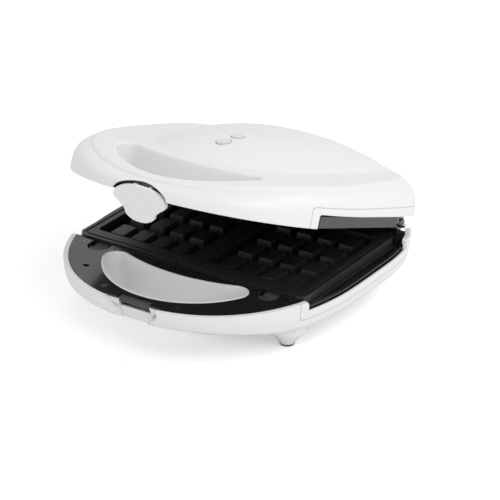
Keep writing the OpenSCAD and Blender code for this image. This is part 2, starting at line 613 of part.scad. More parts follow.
module foot_pads() place_base() color("#2b2b2b") both() for (y = foot_y) translate([foot_span / 2, y, 0])
    rotate_extrude($fn = 64) difference() {
        union() {
            square([foot_r - foot_t, foot_t]);
            translate([foot_r - foot_t, foot_t]) circle(foot_t, $fn = 32);
        }
        translate([0, foot_t]) square([foot_r + 5, 10]);
        translate([-10, -5]) square([10, 20]);
    }

// Plate clips: a half-moon thumb pad in front of the pivot, a nose behind it over the plate's lug
module clip_shape() difference() {
    union() {
        translate([0, 0, 3]) linear_extrude(1.8) intersection() {
            translate([0, -0.1]) circle(clip_lug[0] - 0.4, $fn = 48);
            translate([-20, -20]) square([40, 20]);
        }
        along_x(-clip_w / 2, clip_w / 2) union() {
            circle(2.8, $fn = 32);
            polygon([[-5, 3], [-5, 4.8], [2.2, 4.8], [2.2, 0], [-2.6, 0]]);
            polygon([[0.4, 0], [2.6, 0], [4.6, 3.5], [7.4, 3.5], [7.4, 5.4], [3.4, 5.4]]);
        }
    }
    along_x(-2.6, 2.6) translate([-6, -3]) square([6, 6]);
    along_x(-20, 20) circle(clip_pin_r + fit, $fn = 32);
    along_x(-2.6, 2.6) circle(3.2, $fn = 32);
}
module clip_at(side) translate([side * clip_x, clip_y, seam_z + clip_dz]) children();
module clip_pin_pair() for (s = [-1, 1]) clip_at(s) along_x(-clip_lug[1], clip_lug[1]) circle(clip_pin_r, $fn = 32);
// Coil round the pin with one leg under the thumb pad
spring_r = 2.2;
spring_wire = 0.3;
spring_turns = 3;
module clip_spring() {
    n = spring_turns * 16;
    coil = [for (i = [0 : n]) [-1.8 + 3.6 * i / n, spring_r * cos(i * 22.5 + 180), spring_r * sin(i * 22.5 + 180)]];
    path = concat([[coil[0].x, -3.9, 2.5], [coil[0].x, -2.9, 1.4]], coil);
    swept(path, spring_wire, 6);
}
module swept(path, r, n) {
    m = len(path);
    rings = [for (i = [0 : m - 1])
        let (t = path[min(m - 1, i + 1)] - path[max(0, i - 1)], d = t / norm(t),
            u = cross(d, [1, 0, 0.01]), a = u / norm(u), b = cross(d, a))
        [for (k = [0 : n - 1]) path[i] + r * (a * cos(k * 360 / n) + b * sin(k * 360 / n))]];
    loft(rings, path[0], path[m - 1]);
}
module base_clip_left() place_base() color("#2c2d2f") clip_at(-1) clip_shape();
module base_clip_right() place_base() color("#2c2d2f") clip_at(1) clip_shape();
module base_clip_spring_left() place_base() color("silver") clip_at(-1) clip_spring();
module base_clip_spring_right() place_base() color("silver") clip_at(1) clip_spring();
module base_clip_pins() place_base() color("silver") clip_pin_pair();

// ---------- hinge ----------

module base_ear_profile() {
    translate([hinge_y, hinge_z]) circle(hinge_r, $fn = 48);
    polygon([[plate_y + plate_d + 3, seam_z - 6.4], [hinge_y, hinge_z - hinge_r], [hinge_y - 2, hinge_z - 1], [bezel_rear - 1, seam_z - bezel_t - face],
        [plate_y + plate_d + 3, seam_z - bezel_t - face]]);
}
module hinge_brackets() place_base() color("#b9bbbe") both() difference() {
    union() {
        along_x(ear_x, ear_x + ear_t) base_ear_profile();
        translate([ear_x - 10, plate_y + plate_d + 3, bezel_under - bracket_t]) cube([10.5, 8, bracket_t]);
    }
    along_x(0, 200) translate([hinge_y, hinge_z]) circle(hinge_pin_r + fit, $fn = 32);
    translate([rear_screw_pts[1].x, rear_screw_pts[1].y, seam_z - 8]) cylinder(r = screw_r + 0.15, h = 8, $fn = 24);
}
module hinge_pins() place_base() color("#d5d6d8") both() {
    along_x(ear_x - 1.2, arm_x + ear_t + 0.3) translate([hinge_y, hinge_z]) circle(hinge_pin_r, $fn = 32);
    along_x(arm_x + ear_t + 0.3, arm_x + ear_t + 1.8) translate([hinge_y, hinge_z]) circle(hinge_pin_r + 1.3, $fn = 32);
}
module hinge_cover() place_base() color("#1c1c1e") {
    along_x(1.8 - ear_x, ear_x - 1.8) difference() {
        translate([hinge_y, hinge_z]) circle(cover_r, $fn = 64);
        translate([hinge_y, hinge_z]) circle(cover_r - 1.8, $fn = 64);
        translate([hinge_y - 12, deck_z]) square([12, hinge_z - deck_z - 1]);
    }
    // skirt down to the ledge
    translate([18 - ear_x, hinge_y + 4, deck_z + seat]) cube([2 * ear_x - 36, 1.8, hinge_z - deck_z - seat - 3.6]);
}
arm_flange_y = plate_y + plate_d + 3;
module arm_profile() {
    translate([hinge_y, hinge_z]) circle(hinge_r, $fn = 48);
    polygon([[arm_flange_y, lid_z + bezel_t + face], [hinge_y - 4, lid_z + bezel_t + face], [hinge_y, hinge_z - 3], [hinge_y, hinge_z + hinge_r],
        [arm_flange_y, lid_z + bezel_t + 6]]);
}
module hinge_arms() place_lid() color("#b9bbbe") both() difference() {
    union() {
        along_x(arm_x, arm_x + ear_t) arm_profile();
        translate([arm_x + 2, arm_flange_y, lid_bezel_over]) cube([7.6, 6.6, arm_t]);
    }
    along_x(0, 200) translate([hinge_y, hinge_z]) circle(hinge_pin_r + fit, $fn = 32);
    translate([arm_screw.x, arm_screw.y, lid_z]) cylinder(r = screw_r + 0.15, h = 12, $fn = 24);
}

// ---------- lid ----------

lean_steps = [0.4, 0.55, 0.68, 0.78, 0.86, 0.92, 0.97];
function lid_rings() = concat([for (k = [0.1, 0.22, 0.34, 0.46, 0.58, 0.7, 0.8, 0.9, 0.97]) top_ring(k, 0)],
    [for (a = [90, 65, 40, 20, 0]) shoulder_ring(a, 0)],
    [for (i = [len(lean_steps) - 1 : -1 : 0]) wall_ring(lean(lean_steps[i]), lean_steps[i])], [wall_ring(0, 0)]);
module lid_outer() loft(lid_rings(), [0, widest_y, top_z(0, widest_y)], [0, widest_y, lid_z]);
module lid_skin() {
    inner = concat([wall_ring(wall, 0)], [for (k = lean_steps) wall_ring(wall + lean(k), k, -wall)],
        [for (a = [0, 40, 90]) shoulder_ring(a, wall)], [for (k = [0.97, 0.8, 0.6, 0.4, 0.15]) top_ring(k, wall)]);
    loft(concat(lid_rings(), inner), [0, widest_y, top_z(0, widest_y)], [0, widest_y, top_z(0, widest_y) - wall]);
}
// Posts hanging from the lid's skin, for the screws of its bezel, tray and hinge arms
lid_bezel_over = lid_z + bezel_t + face;
lid_tray_z = 2 * base_plate_z + seat - reflector_z;    // top of the upper tray
arm_t = 1.6;
arm_screw = [arm_x + 6, plate_y + plate_d + 6.2];
module lid_post(p, z, h, r) translate([p.x, p.y, z]) difference() {
    cylinder(r = r, h = 60, $fn = 32);
    translate([0, 0, -1]) cylinder(r = screw_r - 0.1, h = h + 1, $fn = 24);
}
module lid_posts() intersection() {
    lid_outer();
    both() {
        for (p = bezel_screw_pts) lid_post(p, lid_bezel_over, 6, post_r);
        for (p = reflector_post) lid_post(p, lid_tray_z + face, 6, post_r);
        lid_post(arm_screw, lid_bezel_over + arm_t + face, 6, post_r - 0.3);
    }
}
// Wall round the hand opening, its top following the lid
module grip_wall() {
    function rise(p, z) = [for (q = p) [q.x, q.y, z == 0 ? lid_z : top_z(q.x, q.y) - 0.6]];
    a = grip_pts(wall);
    b = grip_pts(0.01);
    n = len(a);
    pts = concat(rise(a, 0), rise(a, 1), rise(b, 1), rise(b, 0));
    polyhedron(pts, [for (j = [0 : 3], i = [0 : n - 1], k = [0, 1])
        let (p = j * n + i, q = j * n + (i + 1) % n, r = ((j + 1) % 4) * n + (i + 1) % n, s = ((j + 1) % 4) * n + i)
        k == 0 ? [p, r, q] : [p, s, r]], convexity = 6);
}
arch_h = 10.9;
lens_y = [110, 130];
lens_r = [[5.4, 8], [5, 7]];
module lens_hole(i, grow) translate([0, lens_y[i], top_z(0, lens_y[i]) - 8]) linear_extrude(16)
    scale([1, 1, 1]) intersection() {
        translate([lens_r[i].y - lens_r[i].x, 0]) circle(lens_r[i].y + grow, $fn = 48);
        translate([lens_r[i].x - lens_r[i].y, 0]) circle(lens_r[i].y + grow, $fn = 48);
    }
module lid_shell() place_lid() color("white") difference() {
    union() {
        difference() {
            union() {
                lid_skin();
                grip_wall();
            }
            // cut-outs along the sides and across the rear
            translate([-body_w, cut_front, seam_z - 10]) cube([2 * body_w, body_d, lid_cut_h + 10]);
        }
        lid_posts();
    }
    translate([0, 0, seam_z - 10]) linear_extrude(80) polygon(grip_pts(0));
    // arch over the latch
    translate([0, latch_back(lid_z) + 4, lid_z - 1.8]) rotate([90, 0, 0]) linear_extrude(20)
        polygon([for (a = [0 : 5 : 355]) [(latch_w / 2 + 1.5) * cos(a), (arch_h + 1) * sin(a)]]);
    for (i = [0, 1]) lens_hole(i, 0.3);
}
module lid_bezel() place_lid() color("#1c1c1e") difference() {
    union() {
        translate([0, 0, lid_z]) linear_extrude(bezel_t) difference() {
            union() {
                bezel_plan(-10, cut_front - 0.4);
                bezel_plan(cut_rear + 0.4, bezel_rear);
            }
            polygon(grip_pts(wall + 0.15));
            clip_pockets();
        }
        // dark frame beside the plate, seen through the side cut-outs
        translate([0, 0, lid_z]) linear_extrude(9.2) intersection() {
            difference() {
                plate_rect(plate_gap + 1.6);
                plate_rect(plate_gap);
            }
            union() {
                both() translate([clip_x + clip_pocket_w / 2, 0]) square([60, body_d]);
                translate([-clip_x + clip_pocket_w / 2, 0]) square([2 * clip_x - clip_pocket_w, plate_y + 20]);
                translate([-plate_w / 2, plate_y + plate_d - 8]) square([plate_w, 20]);
            }
        }
        turned_clip_lugs();
        // lugs for the latch pin
        both() along_x(9.4, 12.4) {
            translate([latch_axis_y, latch_axis_z]) circle(latch_pin_r + 1.25, $fn = 32);
            polygon([[latch_back(lid_z + bezel_t) + 0.7, lid_z + bezel_t - 0.5], [latch_back(lid_z) + 5.5, lid_z + bezel_t - 0.5],
                [latch_axis_y + 2.2, latch_axis_z + 1], [latch_axis_y - 1.4, latch_axis_z - 1.6]]);
        }
    }
    translate([0, 0, lid_z - 3]) linear_extrude(10) screw_holes(bezel_screw_pts, screw_r + 0.15);
    translate([0, 0, lid_z - 3]) linear_extrude(3.9) screw_holes(bezel_screw_pts, head_r + 0.3);
    both() translate([arm_screw.x, arm_screw.y, lid_z - 3]) cylinder(r = screw_r + 0.15, h = 12, $fn = 24);
    both() translate([arm_screw.x, arm_screw.y, lid_z - 3]) cylinder(r = head_r + 0.3, h = 3.9, $fn = 32);
    lug_slots(lid_plate_z + 4.8);
    translate([-latch_w / 2 - 3, -5, lid_z - 5]) cube([latch_w + 6, latch_back(lid_z) + 5 + facet_gap, 8]);
    both() along_x(5, 13) translate([latch_axis_y, latch_axis_z]) circle(latch_pin_r + 0.02, $fn = 32);
    both() translate([ear_x - 1, hinge_y - 10, lid_z - 2]) cube([ear_t + 1.5, 10, 10]);
}
module turned_clip_lugs() translate([0, 0, 2 * (seam_z + seam_gap / 2)]) mirror([0, 0, 1]) clip_lugs(seam_z);
module lid_plate() place_lid() color("#2a2a2c") turned_over() cooking_plate(base_plate_z);
module lid_heater() place_lid() color("#6b6b6b") turned_over() heater(base_heater_z);
module lid_reflector() place_lid() color("silver") turned_over() reflector(base_plate_z, reflector_z);
module lid_screw(p, l) translate([p.x, p.y, lid_z + 0.9]) {
    mirror([0, 0, 1]) countersunk(0, l);
    cylinder(r = screw_r - 0.2, h = l + 4.4, $fn = 24);
}
module lid_bezel_screws() place_lid() color("#3a3a3c") both() {
    for (p = bezel_screw_pts) lid_screw(p, bezel_t - 0.8);
    lid_screw(arm_screw, bezel_t - 0.8 + arm_t);
}
module lid_reflector_screws() place_lid() color("silver") turned_over() both() for (p = reflector_post) translate([p.x, p.y, 0]) {
    translate([0, 0, reflector_z + 0.8]) cylinder(r = head_r, h = 1.6, $fn = 32);
    translate([0, 0, reflector_z - 5]) cylinder(r = screw_r - 0.2, h = 6, $fn = 24);
}
board_z = top_z(0, lens_y[0]) - 13;    // upper face of the lamp board
pipe_r = 3.4;
module lens(i) {
    z = top_z(0, lens_y[i]);
    tilt = atan((top_z(0, lens_y[i] + 4) - top_z(0, lens_y[i] - 4)) / 8);
    difference() {
        union() {
            translate([0, lens_y[i], z - wall]) rotate([tilt, 0, 0]) linear_extrude(wall + 0.8) intersection() {
                translate([lens_r[i].y - lens_r[i].x, 0]) circle(lens_r[i].y - 0.3, $fn = 48);
                translate([lens_r[i].x - lens_r[i].y, 0]) circle(lens_r[i].y - 0.3, $fn = 48);
            }
            // light pipe standing on the lamp board
            translate([0, lens_y[i], board_z + seat]) cylinder(r = pipe_r, h = z - wall + 1 - board_z - seat, $fn = 32);
        }
        translate([0, lens_y[i], board_z]) cylinder(r = pipe_r - 1, h = z - wall - 1.4 - board_z, $fn = 32);
    }
}
module power_lens() place_lid() color("#d8d8d6") lens(0);
module ready_lens() place_lid() color("#d8d8d6") lens(1);
lamp_r = 1.9;
module lamp_holder() place_lid() color("#e8e4da") difference() {
    translate([-9, lens_y[0] - 10, board_z - 2]) cube([18, lens_y[1] - lens_y[0] + 20, 2]);
    for (y = lens_y) translate([0, y, board_z - 3]) cylinder(r = lamp_r + 0.1, h = 5, $fn = 32);
}
module indicator_lamps() place_lid() color("#e0a060") for (y = lens_y) translate([0, y, board_z - 3]) {
    cylinder(r = lamp_r, h = 7, $fn = 32);
    translate([0, 0, 7]) sphere(lamp_r, $fn = 32);
}
module turned_clip() translate([0, 0, 2 * (seam_z + seam_gap / 2)]) mirror([0, 0, 1]) children();
module lid_clip_left() place_lid() color("#2c2d2f") turned_clip() clip_at(-1) clip_shape();
module lid_clip_right() place_lid() color("#2c2d2f") turned_clip() clip_at(1) clip_shape();
module lid_clip_spring_left() place_lid() color("silver") turned_clip() clip_at(-1) clip_spring();
module lid_clip_spring_right() place_lid() color("silver") turned_clip() clip_at(1) clip_spring();
module lid_clip_pins() place_lid() color("silver") turned_clip() clip_pin_pair();

// ---------- latch ----------

module latch() place_lid() latch_frame() color("white") difference() {
    union() {
        rotate([90, 0, 0]) translate([0, 0, -latch_t / 2]) linear_extrude(latch_t) latch_outline();
        // ears for the pin
        both() along_x(5.6, 9) {
            translate([latch_axis_n, latch_axis_h]) circle(latch_pin_r + 1.25, $fn = 32);
            translate([latch_t / 2 - 0.3, latch_axis_h - 2.5]) square([latch_axis_n - latch_t / 2 + 0.3, 5]);
        }
        // hook
        translate([-12, latch_t / 2 - 0.3, -13]) cube([24, 3.2, 2.3]);
    }
    both() along_x(4, 11) translate([latch_axis_n, latch_axis_h]) circle(latch_pin_r + fit, $fn = 32);
}
module latch_pin() place_lid() color("silver") along_x(-12.4, 12.4) translate([latch_axis_y, latch_axis_z]) circle(latch_pin_r, $fn = 32);

base_shell();
base_bezel();
base_plate();
base_heater();
base_reflector();
latch_catch();
thermostat();
thermal_fuse();
terminal_block();
terminal_cover();
cord_gland();
supply_wires();
bezel_screws();
reflector_screws();
cover_screws();
foot_pads();
base_clip_pins();
hinge_brackets();
hinge_pins();
hinge_cover();
base_clip_left();
base_clip_right();
base_clip_spring_left();
base_clip_spring_right();
lid_shell();
lid_bezel();
lid_plate();
lid_heater();
lid_reflector();
hinge_arms();
lid_bezel_screws();
lid_reflector_screws();
power_lens();
ready_lens();
lamp_holder();
indicator_lamps();
lid_clip_pins();
lid_clip_left();
lid_clip_right();
lid_clip_spring_left();
lid_clip_spring_right();
latch();
latch_pin();
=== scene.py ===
import json
import math

import bpy
import numpy as np
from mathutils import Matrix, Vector


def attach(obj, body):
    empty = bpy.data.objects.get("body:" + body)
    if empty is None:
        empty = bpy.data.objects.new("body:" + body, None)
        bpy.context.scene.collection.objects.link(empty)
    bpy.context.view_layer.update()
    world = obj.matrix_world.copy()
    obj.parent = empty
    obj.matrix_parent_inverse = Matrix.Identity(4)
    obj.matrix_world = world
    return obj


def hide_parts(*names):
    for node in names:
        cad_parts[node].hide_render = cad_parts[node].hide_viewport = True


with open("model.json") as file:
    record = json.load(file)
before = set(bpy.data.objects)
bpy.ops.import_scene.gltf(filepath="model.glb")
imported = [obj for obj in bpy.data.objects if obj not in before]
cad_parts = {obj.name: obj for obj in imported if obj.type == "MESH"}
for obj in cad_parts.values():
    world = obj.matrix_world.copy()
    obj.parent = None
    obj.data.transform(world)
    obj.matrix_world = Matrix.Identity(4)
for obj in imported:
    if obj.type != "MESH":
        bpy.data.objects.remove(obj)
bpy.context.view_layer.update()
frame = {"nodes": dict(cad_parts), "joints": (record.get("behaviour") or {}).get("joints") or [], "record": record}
print("frame loaded:", len(frame["nodes"]), "nodes")

mm = 0.001
hinge = next(j for j in frame["joints"] if j["name"] == "lid_hinge")
lidOpening = math.radians(-hinge["range_deg"][0])  # from shut to the stored pose

# body shape, in millimetres, with the lid shut
body = {
    "halfWidth": 124.5,
    "depth": 264,
    "widestAt": 149,  # from the front edge
    "frontPower": 2.3,
    "rearPower": 4.8,
    "seam": 47,  # height of the parting line
    "seamGap": 0.8,
    "rim": 4,
    "wall": 2.4,
    "hingeAt": 244.4,
    "hingeHeight": 48.6,
    "frontZone": 60,  # what is nearer than this counts as the front
    "insetRange": (-5.0, 110.0),  # insets between which a point's own inset is searched
    "halvings": 34,
    "fineTurns": 40000,  # steps round the outline from which the columns are chosen
}
body["frontEdge"] = hinge["pos_m"][1] / mm - body["hingeAt"]  # of the body, in the frame

cutout = {"front": 82, "rear": 223, "baseDrop": 8.2, "lidEdge": 59.2, "cornerRadius": 2.6}
# recess for the latch in the base, seen square to the latch's plate: half widths at heights up the plate
latchGap = {
    "refAt": 4,
    "refHeight": 50.2,
    "back": 2.1,
    "play": 1,
    "halfWidth": 26,
    "tongueHalf": 15,
    "blend": 38,
    "panelTop": 38.4,
    "underBezel": 44.85,
    "width": 50,
    "tongue": 27,
    "tongueMost": 0.9,  # share of the recess's half width that the tongue takes at most
    "curveSteps": 20,
    "sideFrom": 3,  # points nearer to the middle than this belong to the plate's top and foot
}


def smoothStep(value, low, high):
    k = np.clip((value - low) / (high - low), 0, 1)
    return k * k * (3 - 2 * k)


def outline(turn, inset):
    # superellipse outline of the body, seen from above; turn is in radians, -90 degrees is the front
    c, s = np.cos(turn), np.sin(turn)
    power = np.where(s < 0, body["frontPower"], body["rearPower"])
    reach = np.where(s < 0, body["widestAt"], body["depth"] - body["widestAt"]) - inset
    x = (body["halfWidth"] - inset) * np.sign(c) * np.abs(c) ** (2 / power)
    y = body["widestAt"] + reach * np.sign(s) * np.abs(s) ** (2 / power)
    return x, y


def insetOf(x, y):
    # how far a point lies inside the outline, found by halving
    low, high = (np.full(np.shape(x), end) for end in body["insetRange"])
    front = y < body["widestAt"]
    power = np.where(front, body["frontPower"], body["rearPower"])
    reach = np.where(front, body["widestAt"], body["depth"] - body["widestAt"])
    away = np.abs(y - body["widestAt"])
    for _ in range(body["halvings"]):
        middle = (low + high) / 2
        across, along = np.abs(x) / (body["halfWidth"] - middle), away / (reach - middle)
        inside = across ** power + along ** power < 1
        low, high = np.where(inside, middle, low), np.where(inside, high, middle)
    return low


grip = {
    "bar": 20.4,
    "depth": 42.4,
    "width": 133,
    "nearRadius": 74,
    "farRadius": 158,
    "endRadius": 9,
    "splitAt": 66,  # place on the outline from which columns run to the opening's tips
    "samples": 600,  # points on each half of the opening
}


def gripGeometry():
    near = grip["bar"] + grip["nearRadius"]
    far = grip["bar"] + grip["depth"] + grip["farRadius"]
    a, b, d = grip["nearRadius"] - grip["endRadius"], grip["farRadius"] + grip["endRadius"], far - near
    endY = near + (a * a - b * b + d * d) / (2 * d)
    endX = math.sqrt(a * a - (endY - near) ** 2)
    return near, far, endX, endY, grip["width"] / (2 * (endX + grip["endRadius"]))


def gripAngles():
    # the hand opening as (centre x, centre y, radius, sign of growth, angle) for points evenly spaced
    # round it, from the left tip along the front to the right tip and back along the rear
    near, far, endX, endY, _ = gripGeometry()
    nearTurn, farTurn = math.atan2(endY - near, endX), math.atan2(endY - far, endX)
    r = grip["endRadius"]
    parts = [
        (-endX, endY, r, 1, math.pi, math.pi - nearTurn),
        (0, near, grip["nearRadius"], 1, -math.pi - nearTurn, nearTurn),
        (endX, endY, r, 1, nearTurn, 0),
        (endX, endY, r, 1, 0, farTurn + math.pi),
        (0, far, grip["farRadius"], -1, farTurn, -math.pi - farTurn),
        (-endX, endY, r, 1, -farTurn, math.pi),
    ]
    halves = []
    for chosen in (parts[:3], parts[3:]):
        lengths = [abs(p[5] - p[4]) * p[2] for p in chosen]
        total, rows = sum(lengths), []
        for k in np.linspace(0, total, grip["samples"]):
            for part, length in zip(chosen, lengths):
                if k <= length + 1e-9:
                    rows.append((*part[:4], part[4] + (part[5] - part[4]) * k / length))
                    break
                k -= length
        halves.append(np.array(rows))
    return halves


gripHalves = gripAngles()


def gripPoint(where, grow):
    # where runs 0..1 along the front half of the hand opening and 1..2 along the rear half
    scale = gripGeometry()[4]
    out = np.zeros((len(where), 2))
    for half in (0, 1):
        table = gripHalves[half]
        chosen = (where >= half) & (where <= half + 1)
        spot = (where[chosen] - half) * (len(table) - 1)
        low = np.clip(np.floor(spot).astype(int), 0, len(table) - 2)
        share = (spot - low)[:, None]
        points = table[:, :2] + (table[:, 2] + grow * table[:, 3])[:, None] * np.column_stack(
            (np.cos(table[:, 4]), np.sin(table[:, 4])))
        out[chosen] = points[low] * (1 - share) + points[low + 1] * share
    return out[:, 0] * scale, out[:, 1]


def columnsOf(spacing, extraY, extraX):
    # turns round the outline, evenly spaced, with pairs of close columns where an edge steps,
    # and the place on the hand opening that each one runs to
    fine = np.linspace(-math.pi, math.pi, body["fineTurns"] + 1)
    x, y = outline(fine, 0)
    run = np.concatenate(([0], np.cumsum(np.hypot(np.diff(x), np.diff(y)))))
    places = list(np.linspace(0, run[-1], int(run[-1] / spacing))[:-1])
    for side in (-1, 1):
        for target in extraY:
            chosen = np.where(x * side > 0)[0]
            places.append(run[chosen[np.argmin(np.abs(y[chosen] - target))]])
        for target in extraX:
            chosen = np.where(y < body["frontZone"])[0]
            places.append(run[chosen[np.argmin(np.abs(x[chosen] - side * target))]])
    places = np.unique(np.round(places, 4))
    turns = np.interp(places, run, fine)
    chosen = np.where((x > 0) & (y < body["widestAt"]))[0]
    right = run[chosen[np.argmin(np.abs(y[chosen] - grip["splitAt"]))]]
    chosen = np.where((x < 0) & (y < body["widestAt"]))[0]
    left = run[chosen[np.argmin(np.abs(y[chosen] - grip["splitAt"]))]]
    front = (places >= left) & (places <= right)
    where = np.where(front, (places - left) / (right - left),
                     1 + ((places - right) % run[-1]) / ((left - right) % run[-1]))
    return turns, where


class SheetMesh:
    # a surface made of rows of points that run round the body
    def __init__(self):
        self.rows = []

    def add(self, x, y, z):
        self.rows.append(np.column_stack((x, y, np.broadcast_to(z, np.shape(x)))))

    def build(self, name, opened=0.0, sharp=35):
        rows = np.array(self.rows)
        count, around = rows.shape[0], rows.shape[1]
        points = rows.reshape(-1, 3)
        y, z = points[:, 1] - body["hingeAt"], points[:, 2] - body["hingeHeight"]
        c, s = math.cos(opened), math.sin(opened)
        openedY, openedZ = body["hingeAt"] + y * c + z * s, body["hingeHeight"] - y * s + z * c
        points = np.column_stack((points[:, 0], openedY, openedZ))
        points[:, 1] += body["frontEdge"]
        i, j = np.meshgrid(np.arange(around), np.arange(count - 1))
        i, j = i.ravel(), j.ravel()
        nextI, row, nextRow = (i + 1) % around, j * around, (j + 1) * around
        faces = np.column_stack((row + i, nextRow + i, nextRow + nextI, row + nextI))
        mesh = bpy.data.meshes.new(name)
        mesh.from_pydata((points * mm).tolist(), [], faces.tolist())
        mesh.validate()
        mesh.update()
        mesh.shade_smooth()
        mesh.set_sharp_from_angle(angle=math.radians(sharp))
        piece = bpy.data.objects.new(name, mesh)
        bpy.context.scene.collection.objects.link(piece)
        return piece


lid = {
    "frontHeight": 9.8,
    "rearHeight": 44.3,
    "noseDrop": 15.5,
    "noseLength": 80,
    "domeHeight": 16.5,
    "domeHalfWidth": 74,
    "domeAt": 155,
    "domeFront": 83,
    "domeRear": 103,
    "domeRearPower": 8,
    "domeFlare": 0.25,
    "domeSoftness": 0.03,
    "domeRoundness": 0.91,
    "creaseDepth": 2,
    "creaseInset": 12.5,
    "leanPower": 4.4,
    "shoulderInset": 17,
    "lipRadius": 2.4,
    "footInside": 4,  # how far up the inner face of the opening's wall starts
    "footLift": 0.5,
    "footRound": 0.4,
    "footBevel": 0.15,
    "edgeRadius": 0.7,
    "archHalfWidth": 26.5,
    "archHeight": 12.2,
    "archDrop": 1.8,  # of the arch's foot below the lid's lower edge
    "inwardLip": 7,  # how far the inner face of the wall goes up
    "inwardLean": 0.3,  # how far it leans in there
    "inwardLeast": 0.2,  # its least height
    "columns": 2,
    "lipRows": 9,
    "topRows": 110,
    "bandSpare": 0.5,  # the shoulder's rows reach this far past it
    "bandMost": 0.9,  # and over this share of the top at most
    "shoulderRows": 18,
    "wallRows": 30,
    "wallSpread": (0.012, 0.985),  # shares of the wall that its rows span, down from the crease
    "wallCrowding": 1.6,  # brings them closer together near the crease
}
# where close columns stand on the arch and behind the step of the side openings, as shares of its
# half width and of the corner radius; stepEdge sets a pair of them apart
archColumns = (1.003, 0.997, 0.985, 0.965, 0.93, 0.88, 0.81, 0.73)
lidStepColumns = (0.1, 0.25, 0.5, 0.8)
stepEdge = 0.1


def lidHeight(y):
    rise = lid["rearHeight"] - lid["frontHeight"] - lid["noseDrop"]
    drop = lid["noseDrop"] * np.maximum(0, 1 - y / lid["noseLength"]) ** 2
    return body["seam"] + lid["frontHeight"] + lid["noseDrop"] + rise * y / body["depth"] - drop


def domeRise(x, y):
    away = y - lid["domeAt"]
    width = lid["domeHalfWidth"] + lid["domeFlare"] * np.maximum(0, away)
    behind = (np.abs(away) / lid["domeRear"]) ** lid["domeRearPower"]
    along = np.where(away < 0, (away / lid["domeFront"]) ** 2, behind)
    inside = 1 - (x / width) ** 2 - along
    soft = lid["domeSoftness"]
    return lid["domeHeight"] * (0.5 * (inside + np.sqrt(inside ** 2 + soft ** 2))) ** lid["domeRoundness"]


def lidTop(x, y):
    inset = insetOf(x, y)
    edge = np.clip((inset - lid["creaseInset"]) / (lid["shoulderInset"] - lid["creaseInset"]), 0, 1)
    depth = lid["creaseDepth"]
    return lidHeight(y) - depth + (depth + domeRise(x, y)) * np.sqrt(1 - (1 - edge) ** 2)


def lidWallInset(height, crease):
    # the lid's wall leans in more and more towards the crease; height is above the lid's lower edge
    return lid["creaseInset"] * np.clip(height / crease, 0, 1) ** lid["leanPower"]


def makeLidShell():
    near = [cutout["front"] - stepEdge, cutout["front"] + stepEdge]
    corner = [cutout["front"] + stepEdge + cutout["cornerRadius"] * k for k in lidStepColumns]
    turns, where = columnsOf(lid["columns"], near + corner, [lid["archHalfWidth"] * k for k in archColumns])
    low = body["seam"] + body["seamGap"]
    edgeX, edgeY = outline(turns, 0)
    cut = edgeY > cutout["front"]
    radius = cutout["cornerRadius"]
    into = np.clip(edgeY - cutout["front"], 0, radius)
    bottom = np.where(cut, cutout["lidEdge"] - radius + np.sqrt(radius ** 2 - (radius - into) ** 2), low)
    share = np.sqrt(np.clip(1 - (edgeX / lid["archHalfWidth"]) ** 2, 0, 1))
    arch = low - lid["archDrop"] + lid["archHeight"] * share
    inArch = (edgeY < body["frontZone"]) & (np.abs(edgeX) < lid["archHalfWidth"])
    bottom = np.where(inArch, np.maximum(low, arch), bottom)

    sheet = SheetMesh()
    thick = body["wall"]
    # wall of the hand opening, from its foot up to the rounded lip
    lift, bevel = lid["footLift"], lid["footBevel"]
    profile = ((thick, lid["footInside"]), (thick, lift), (thick - lid["footRound"], 0),
               (lift, 0), (bevel, bevel), (0, lift))
    for grow, z in profile:
        x, y = gripPoint(where, grow)
        sheet.add(x, y, low + z)
    lip = lid["lipRadius"]
    x, y = gripPoint(where, 0)
    start = low + lift
    for share in (0.3, 0.6, 0.9):
        sheet.add(x, y, start + (lidTop(*gripPoint(where, lip)) - lip - start) * share)
    for angle in np.radians(np.linspace(0, 90, lid["lipRows"])):
        x, y = gripPoint(where, lip * (1 - math.cos(angle)))
        sheet.add(x, y, lidTop(x, y) - lip * (1 - math.sin(angle)))
    # top, from the lip out to the crease
    innerX, innerY = gripPoint(where, lip)
    outerX, outerY = outline(turns, lid["creaseInset"])
    reach = np.hypot(outerX - innerX, outerY - innerY)
    band = lid["shoulderInset"] - lid["creaseInset"] + lid["bandSpare"]
    band = np.minimum(band, reach * lid["bandMost"])
    for share in np.linspace(0, 1, lid["topRows"])[1:-1]:
        k = share * (1 - band / reach)
        x, y = innerX + (outerX - innerX) * k, innerY + (outerY - innerY) * k
        sheet.add(x, y, lidTop(x, y))
    for angle in np.radians(np.linspace(90, 0, lid["shoulderRows"])):
        k = 1 - band / reach * (1 - math.cos(angle))
        x, y = innerX + (outerX - innerX) * k, innerY + (outerY - innerY) * k
        sheet.add(x, y, lidTop(x, y))
    # outer wall down to the lower edge, then round it to the inside
    crease = lidHeight(outerY) - lid["creaseDepth"] - low
    soft = lid["edgeRadius"]
    for share in 1 - np.linspace(*lid["wallSpread"], lid["wallRows"]) ** lid["wallCrowding"]:
        height = bottom - low + soft + (crease - (bottom - low + soft)) * share
        x, y = outline(turns, lidWallInset(height, crease))
        sheet.add(x, y, low + height)
    for angle in np.radians((0, 30, 60, 90)):
        height = bottom - low + soft * (1 - math.sin(angle))
        x, y = outline(turns, lidWallInset(height, crease) + soft * (1 - math.cos(angle)))
        sheet.add(x, y, low + height)
    x, y = outline(turns, lidWallInset(bottom - low, crease) + thick)
    sheet.add(x, y, bottom)
    # the inner face stays under the crease where the arch comes near it
    inner = np.minimum(bottom + lid["inwardLip"], low + crease - thick)
    inner = np.maximum(inner, bottom + lid["inwardLeast"])
    x, y = outline(turns, lidWallInset(inner - low, crease) + thick + lid["inwardLean"])
    sheet.add(x, y, inner)
    return sheet.build("lidShellMoulding", lidOpening)


